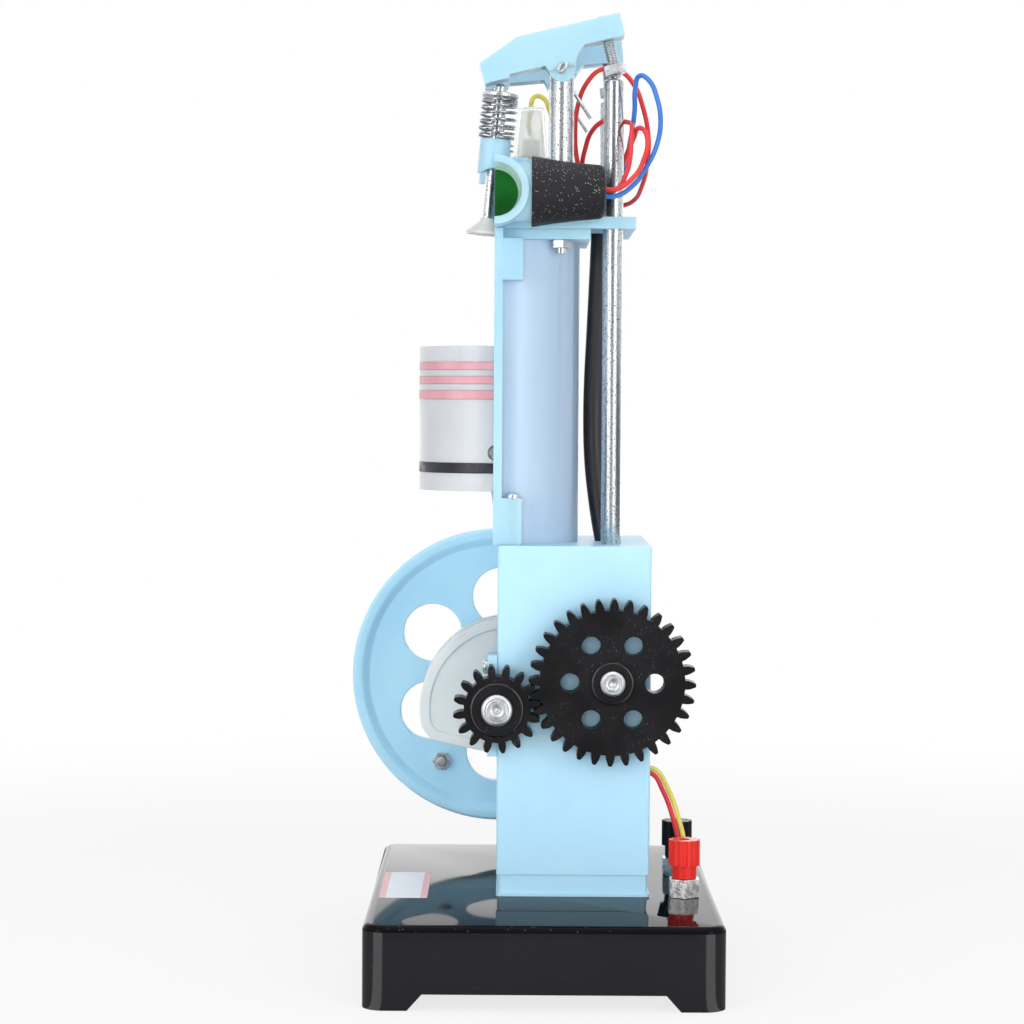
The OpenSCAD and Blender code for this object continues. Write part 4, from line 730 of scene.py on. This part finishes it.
def makePanScrews(name, axis):
    headR, flatR, shankR, under = (panShape[key] for key in ("headR", "flatR", "shankR", "headT"))
    bends = [math.radians(90 * k / panShape["crownSteps"]) for k in range(panShape["crownSteps"] + 1)]
    crown = [(flatR + (headR - flatR) * math.sin(a), panShape["crown"] * (math.cos(a) - 1)) for a in bends]
    pieces = bmesh.new()
    for index, points in enumerate(looseParts(name)):
        spread = [[p[i] for p in points] for i in range(3)]
        centre = Vector([(min(s) + max(s)) / 2 for s in spread])
        reach = [(p - centre).dot(axis) for p in points]
        top, length = centre + axis * max(reach), (max(reach) - min(reach)) * 1000
        turn = Matrix.Rotation(math.radians(panShape["firstTurn"] + panShape["nextTurn"] * index), 3, axis)
        bm = bmesh.new()
        lathe(bm, [(0, 0)] + crown + [(headR, -under), (shankR, -under), (shankR, -length), (0, -length)],
              top, axis, acrossX, panShape["sides"])
        cutRecess(bm, top, axis, [turn @ acrossX, turn @ axis.cross(acrossX)])
        part = bpy.data.meshes.new("screwPart")
        bm.to_mesh(part)
        bm.free()
        pieces.from_mesh(part)
        bpy.data.meshes.remove(part)
    bmesh.ops.recalc_face_normals(pieces, faces=pieces.faces)
    return settleNode(pieces, name, "Heads", [zincSteel])


for name, axis in panHeads.items():
    makePanScrews(name, axis)

# port mouths: the wall narrows and drops towards the lens, cut flush with the front plane; its green or pink
# tint is painted light, the lens's colour cast on the wall
portShape = {"mouthR": 10.1, "mouthIn": 0.3, "lensR": 8.9, "lensGap": 0.05, "drop": 0.8, "steps": 48}


def makePortWall(kind, side, paint):
    # side is 1 or -1, so it picks the highest or the lowest corner
    mouthX = boxOf("cylinder_head")[1 + side].x - side * portShape["mouthIn"]
    lensX = boxOf(kind + "_lens")[1 + side].x + side * portShape["lensGap"]
    turns = [math.radians(-90 + 180 * i / portShape["steps"]) for i in range(portShape["steps"] + 1)]
    bm = bmesh.new()
    mouth, lens = ([bm.verts.new(mm(x, engine["headY"] + radius * math.cos(a),
                                    engine["portZ"] - drop + radius * math.sin(a))) for a in turns]
                   for x, radius, drop in ((mouthX, portShape["mouthR"], 0),
                                           (lensX, portShape["lensR"], portShape["drop"])))
    for i in range(portShape["steps"]):
        bm.faces.new((mouth[i], mouth[i + 1], lens[i + 1], lens[i]))
    middle = mm((mouthX + lensX) / 2, engine["headY"], engine["portZ"])
    for face in bm.faces:
        face.normal_update()
        if face.normal.dot(middle - face.calc_center_median()) < 0:
            face.normal_flip()
    return settle(bm, kind + "PortWall", [paint], "frame_body")


makePortWall("inlet", 1, greenLightWall)
makePortWall("exhaust", -1, redLightWall)

# ejector marks on the pinion's boss
markShape = {"away": 8.3, "radius": 1.35, "height": 0.16, "wellHeight": 0.064, "wellIn": 0.45,
             "lipIn": (0.3, 0.1), "turns": (55, 235), "sides": 32}


def makeMarks():
    face, away = boxOf("crank_pinion")[2].x, markShape["away"]
    radius, height, well = markShape["radius"], markShape["height"], markShape["wellHeight"]
    profile = [(0, well), (radius - markShape["wellIn"], well)]
    profile += [(radius - inset, height) for inset in markShape["lipIn"]] + [(radius, 0)]
    bm = bmesh.new()
    for turn in markShape["turns"]:
        a = math.radians(turn)
        foot = mm(face, engine["frontY"] + away * math.cos(a), engine["crankZ"] + away * math.sin(a))
        lathe(bm, profile, foot, acrossX, alongY, markShape["sides"])
    return settle(bm, "ejectorMarks", [gearPlastic], bodyOf["crank_pinion"])


makeMarks()

# blank label on the base: white with a pink bar at each end
labelShape = {"x": (1, 58.5), "y": (-56, -37.4), "bar": 2.6, "thick": 0.12, "gap": 0.01}


def makeLabel():
    (left, right), (first, last) = labelShape["x"], labelShape["y"]
    stops = (first, first + labelShape["bar"], last - labelShape["bar"], last)
    bottom, rise = engine["baseTop"] + labelShape["gap"], labelShape["thick"] - labelShape["gap"]
    bm = bmesh.new()
    for index, (near, far) in enumerate(zip(stops, stops[1:])):
        corners = ((left, near), (right, near), (right, far), (left, far))
        lift(bm, [bm.faces.new([bm.verts.new(mm(x, y, bottom)) for x, y in corners])], upZ * rise * 0.001)
        for face in bm.faces:
            if near <= face.calc_center_median().y * 1000 <= far:
                face.material_index = int(index != 1)  # the middle strip is white
    bmesh.ops.recalc_face_normals(bm, faces=bm.faces)
    return settle(bm, "blankLabel", [labelWhite, labelPink], "frame_body")


makeLabel()
print("screws, ports, marks and label made")

# wires: routes as in the part's source
wireShape = {"wire": 1.9, "sleeve": 8.2, "straight": 3.8, "roundSteps": 4, "alongSteps": 8}
wireTurn = bootEnd + wireShape["straight"]
capTop = boxOf("spark_cap")[2].z - engine["headTop"]
wireRoutes = {
    "farRedWire": (wireRed, "red_wires", onHead([
        (1.8, 40.8, -4.2), (2.8, 40.3, 3.5), (4.8, 35.8, 13.5), (6.3, 32.3, 23.5), (6.3, 31.3, 35.5),
        (6.3, 32.3, 45.5), (6.3, 35.8, 54.5), (5.3, 41.8, 60), (4.3, 48.8, 59.5), (3.3, 54.3, 54.5),
        (0.3, 58.3, 45.5), (-5.7, 60.8, 34.5), (-14.7, 60.8, 24.5), (-26.7, 59.3, 16.5), (-38.7, 56.3, 11.5),
        (-45.2, 51.8, 9.9), (-bootDx, wireTurn, portUp), (-bootDx, bootEnd, portUp)])),
    "nearRedWire": (wireRed, "red_wires", onHead([
        (bootDx - 1.8, bootEnd, portUp + 0.9), (bootDx - 1.8, wireTurn, portUp + 0.9), (42.3, 50.3, 16.5),
        (39.8, 51.8, 23.5), (37.3, 52.1, 29.5), (33.3, 52.6, 34), (27.3, 52.4, 36.5), (20.8, 49.2, 38),
        (16.3, 42.3, 38.5), (12.3, 37.8, 35), (7.3, 35.3, 28.5), (1.3, 34.3, 21.5), (-2.7, 35.8, 12.5),
        (-2.1, 40, 3.5), (-1.7, 40.5, -4.2)])),
    "linkRedWire": (wireRed, "red_wires", onHead([
        (bootDx + 1.7, bootEnd, portUp + 0.9), (bootDx + 1.7, wireTurn, portUp + 0.9), (46.3, 53.8, 15.5),
        (43.3, 56.8, 21.5), (40.8, 58.3, 27.5), (38.8, 57.3, 32.5), (35.3, 55, 34), (29.3, 53.6, 31),
        (22.3, 50.8, 24.5), (12.3, 46.6, 12.5), (3.8, 45, 5.5), (1.8, 44.3, 0.5), (1.8, 44.3, -4.2)])),
    "blueWire": (wireBlue, "blue_wire", onHead([
        (bootDx - 0.1, bootEnd, portUp - 1.6), (bootDx - 0.1, wireTurn, portUp - 1.6), (44.3, 52.8, 11.5),
        (41.3, 57.8, 18.5), (39.3, 61.8, 27), (38.3, 63.3, 36.5), (37.8, 61.8, 45.5), (37.3, 58.8, 52),
        (35.3, 55.3, 54), (32.3, 53.8, 49.5), (27.3, 53.8, 41.5), (21.3, 52.8, 32.5), (13.3, 50.8, 21.5),
        (5.3, 48.3, 11.5), (-0.7, 45.3, 4.5), (-2.2, 43.3, -4.2)])),
    "sparkLead": (wireYellow, "yellow_wires", onHead([
        (0, 14, capTop + 0.1), (0, 14, capTop + 2.3), (0, 15.8, capTop + 4.7), (0, 18.8, capTop + 3.9),
        (0, 21, capTop - 0.1), (0, 22.8, 37.5), (0, 25.8, 27.5), (0, 30.8, 17.5), (0, 36.8, 8.5),
        (0, 41.8, 2), (0, 42.3, -4.2)])),
    "sleeve": (sleeveBlack, "wire_sleeve", onHead([
        (0, 42.2, -4.5), (0, 41.8, -13.5), (0, 41.2, -28.5), (0, 40.4, -46.5), (0, 39.7, -63.5),
        (0, 39.5, -78.5), (0, 40, -93.5), (0, 41.4, -107.5), (0, 43.2, -119.5), (0, 45.6, -131.5)]))}

# supply wires: share of the way from the crankcase to the base, height above the base
supply = {"dx": 30, "startIn": 1.5, "endPast": 1, "step": 2.1,
          "way": ((0, 47), (0.23, 46.5), (0.5, 40), (0.78, 28), (0.96, 14), (1, -1.5))}
supplyStart = engine["caseBackY"] - supply["startIn"]
supplyEnd = engine["terminalY"] + supply["endPast"]
supplyMiddle = [mm(engine["middleX"] + supply["dx"], supplyStart + share * (supplyEnd - supplyStart),
                   engine["baseTop"] + up) for share, up in supply["way"]]


def beside(route, step):  # the route moved sideways in its own plane
    moved = []
    for i, place in enumerate(route):
        way = (route[min(i + 1, len(route) - 1)] - route[max(i - 1, 0)]).normalized()
        moved.append(place + Vector((0, -way.z, way.y)) * step * 0.001)
    return moved


wireRoutes["redSupply"] = (wireRed, "red_wires", beside(supplyMiddle, -supply["step"] / 2))
wireRoutes["yellowSupply"] = (wireYellow, "yellow_wires", beside(supplyMiddle, supply["step"] / 2))


def bendWire(name, paint, route, thick):
    data = bpy.data.curves.new(name, "CURVE")
    data.dimensions = "3D"
    data.bevel_depth = thick / 2
    data.bevel_resolution = wireShape["roundSteps"]
    data.resolution_u = wireShape["alongSteps"]
    data.use_fill_caps = True
    spline = data.splines.new("BEZIER")
    spline.bezier_points.add(len(route) - 1)
    for point, place in zip(spline.bezier_points, route):
        point.co = place
        point.handle_left_type = point.handle_right_type = "AUTO"
    data.materials.append(paint)
    piece = bpy.data.objects.new(name, data)
    scene.collection.objects.link(piece)
    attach(piece, "frame_body")
    return piece


def layWire(name, paint, node, route):
    thick = wireShape["sleeve" if name == "sleeve" else "wire"] * 0.001
    piece = bendWire(name, paint, route, thick)
    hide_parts(node)
    return piece


for name, (paint, node, route) in wireRoutes.items():
    layWire(name, paint, node, route)

# end of the spark lead, seen through the milky cap
bendWire("sparkCore", wireYellow, onHead([
    (1.2, 14, capTop - 1.6), (2, 13.2, capTop - 4), (2.2, 13, capTop - 7.5), (1.6, 14, capTop - 11)]),
    wireShape["wire"] * 0.001)
print("wires laid:", len(wireRoutes))

# stage: pale floor that fades into the white round it
floorSpec = {"radius": 1.6, "sides": 96, "grey": 0.92, "clearRadius": 0.28, "fadeRadius": 0.75,
             "shadowShare": 0.22, "glossLoss": 0.85, "laneInner": (0.14, 0.26), "laneOuter": (0.5, 0.62),
             "laneGain": 1.7, "cornerRound": 8}

floorMaterial = bpy.data.materials.new("paleFloor")
floorMaterial.use_nodes = True
floorTree = floorMaterial.node_tree
floorTree.nodes.clear()
matte = addNode(floorTree, "BsdfDiffuse", 0, 100)
matte.inputs["Color"].default_value = (floorSpec["grey"],) * 3 + (1,)
glow = addNode(floorTree, "Emission", 0, -100)
rays = addNode(floorTree, "LightPath", -600, 300).outputs
seen = mathStep(floorTree, -300, 300, "MAXIMUM", rays["Is Camera Ray"], rays["Is Glossy Ray"])
seen = mathStep(floorTree, -150, 300, "MAXIMUM", seen, rays["Is Transmission Ray"])
floorPlace = addNode(floorTree, "TexCoord", -1700, -300).outputs["Object"]
# gloss shows the floor darker, with a bright lane past each rounded corner of the base
baseMiddle = boxOf("base")[1]
baseCorner = boxOf("base")[2] - baseMiddle - Vector((1, 1, 0)) * floorSpec["cornerRound"]
way = floorPlace
for step, (operation, taken) in enumerate((("SUBTRACT", baseMiddle), ("ABSOLUTE", None),
                                           ("SUBTRACT", baseCorner), ("NORMALIZE", None))):
    change = addNode(floorTree, "VectorMath", -1500 + 200 * step, -600, operation=operation)
    floorTree.links.new(way, change.inputs[0])
    if taken:
        change.inputs[1].default_value = mm(taken.x, taken.y, 0)
    way = change.outputs["Vector"]
facing = addNode(floorTree, "SeparateXYZ", -700, -600)
floorTree.links.new(way, facing.inputs["Vector"])
lane = mathStep(floorTree, -300, -600, "MULTIPLY",
                ramp(floorTree, -500, -500, facing.outputs["Y"], *floorSpec["laneInner"]),
                ramp(floorTree, -500, -700, facing.outputs["X"], *floorSpec["laneOuter"]))
lane = mathStep(floorTree, -150, -600, "MULTIPLY_ADD", lane, floorSpec["laneGain"], -floorSpec["glossLoss"])
strength = mathStep(floorTree, -150, -100, "MULTIPLY_ADD", rays["Is Glossy Ray"], lane, 1)
floorTree.links.new(strength, glow.inputs["Strength"])
away = addNode(floorTree, "VectorMath", -700, -300, operation="LENGTH")
floorTree.links.new(floorPlace, away.inputs[0])
fade = ramp(floorTree, -500, -300, away.outputs["Value"], floorSpec["clearRadius"], floorSpec["fadeRadius"],
            1 - floorSpec["shadowShare"], 1)
floorLook = mixShaders(floorTree, 250, 0, mathStep(floorTree, 0, 300, "MULTIPLY", seen, fade),
                       matte.outputs["BSDF"], glow.outputs["Emission"])
floorTree.links.new(floorLook, addNode(floorTree, "OutputMaterial", 450, 0).inputs["Surface"])

floorShape = bmesh.new()
bmesh.ops.create_circle(floorShape, cap_ends=True, segments=floorSpec["sides"], radius=floorSpec["radius"])
floorMesh = bpy.data.meshes.new("floor")
floorShape.to_mesh(floorMesh)
floorShape.free()
floorMesh.materials.append(floorMaterial)
floor = bpy.data.objects.new("floor", floorMesh)
scene.collection.objects.link(floor)

# world: white to the eye, softer as light; gloss shows a dim studio behind the camera
worldSpec = {"light": 0.45, "dim": 0.22, "dimFrom": 0.8, "dimFull": 0.95,
             "sweepFrom": -0.5, "sweepFull": -0.85, "sweepGain": 1.9}  # overbright sweep behind the engine
world = bpy.data.worlds.new("studio")
scene.world = world
world.use_nodes = True
sky = world.node_tree
sky.nodes.clear()
rays = addNode(sky, "LightPath", -900, 300).outputs
split = addNode(sky, "SeparateXYZ", -700, -200)
sky.links.new(addNode(sky, "TexCoord", -900, -200).outputs["Generated"], split.inputs["Vector"])
ahead = split.outputs["X"]
dim = ramp(sky, -500, -200, ahead, worldSpec["dimFrom"], worldSpec["dimFull"], 1, worldSpec["dim"])
sweep = ramp(sky, -500, -400, ahead, worldSpec["sweepFrom"], worldSpec["sweepFull"],
             1, worldSpec["sweepGain"])


def whiteLight(y, strength):
    node = addNode(sky, "Background", -250, y)
    node.inputs["Color"].default_value = (1, 1, 1, 1)
    join(sky, strength, node.inputs["Strength"])
    return node.outputs["Background"]


eyeRays = mathStep(sky, -500, 400, "MAXIMUM", rays["Is Camera Ray"], rays["Is Transmission Ray"])
skyLook = mixShaders(sky, 0, 100, eyeRays, whiteLight(200, worldSpec["light"]), whiteLight(0, 1))
skyLook = mixShaders(sky, 200, 0, rays["Is Glossy Ray"], skyLook,
                     whiteLight(-200, mathStep(sky, -400, -200, "MULTIPLY", dim, sweep)))
sky.links.new(skyLook, addNode(sky, "OutputWorld", 400, 0).inputs["Surface"])

softBoxes = {  # place, width and height in metres, power, shown in gloss
    "leftBox": ((1.2, -0.8, 0.5), (0.45, 0.95), 5.4, True),
    "rightBox": ((1.2, 0.8, 0.5), (0.45, 0.95), 5, True),
    "topBox": ((0.1, 0.0, 1.5), (1.2, 1.2), 6, True),
    "frontBox": ((1.7, -0.1, 0.28), (0.5, 0.5), 7.5, False)}
aim = Vector((0, 0, 0.19))
for name, (place, size, power, inGloss) in softBoxes.items():
    lamp = bpy.data.lights.new(name, "AREA")
    lamp.shape = "RECTANGLE"
    lamp.size, lamp.size_y = size
    lamp.energy = power
    box = bpy.data.objects.new(name, lamp)
    box.location = place
    box.visible_glossy = inGloss
    box.rotation_euler = (aim - Vector(place)).to_track_quat("-Z", "Y").to_euler()
    scene.collection.objects.link(box)
print("stage and lights set")
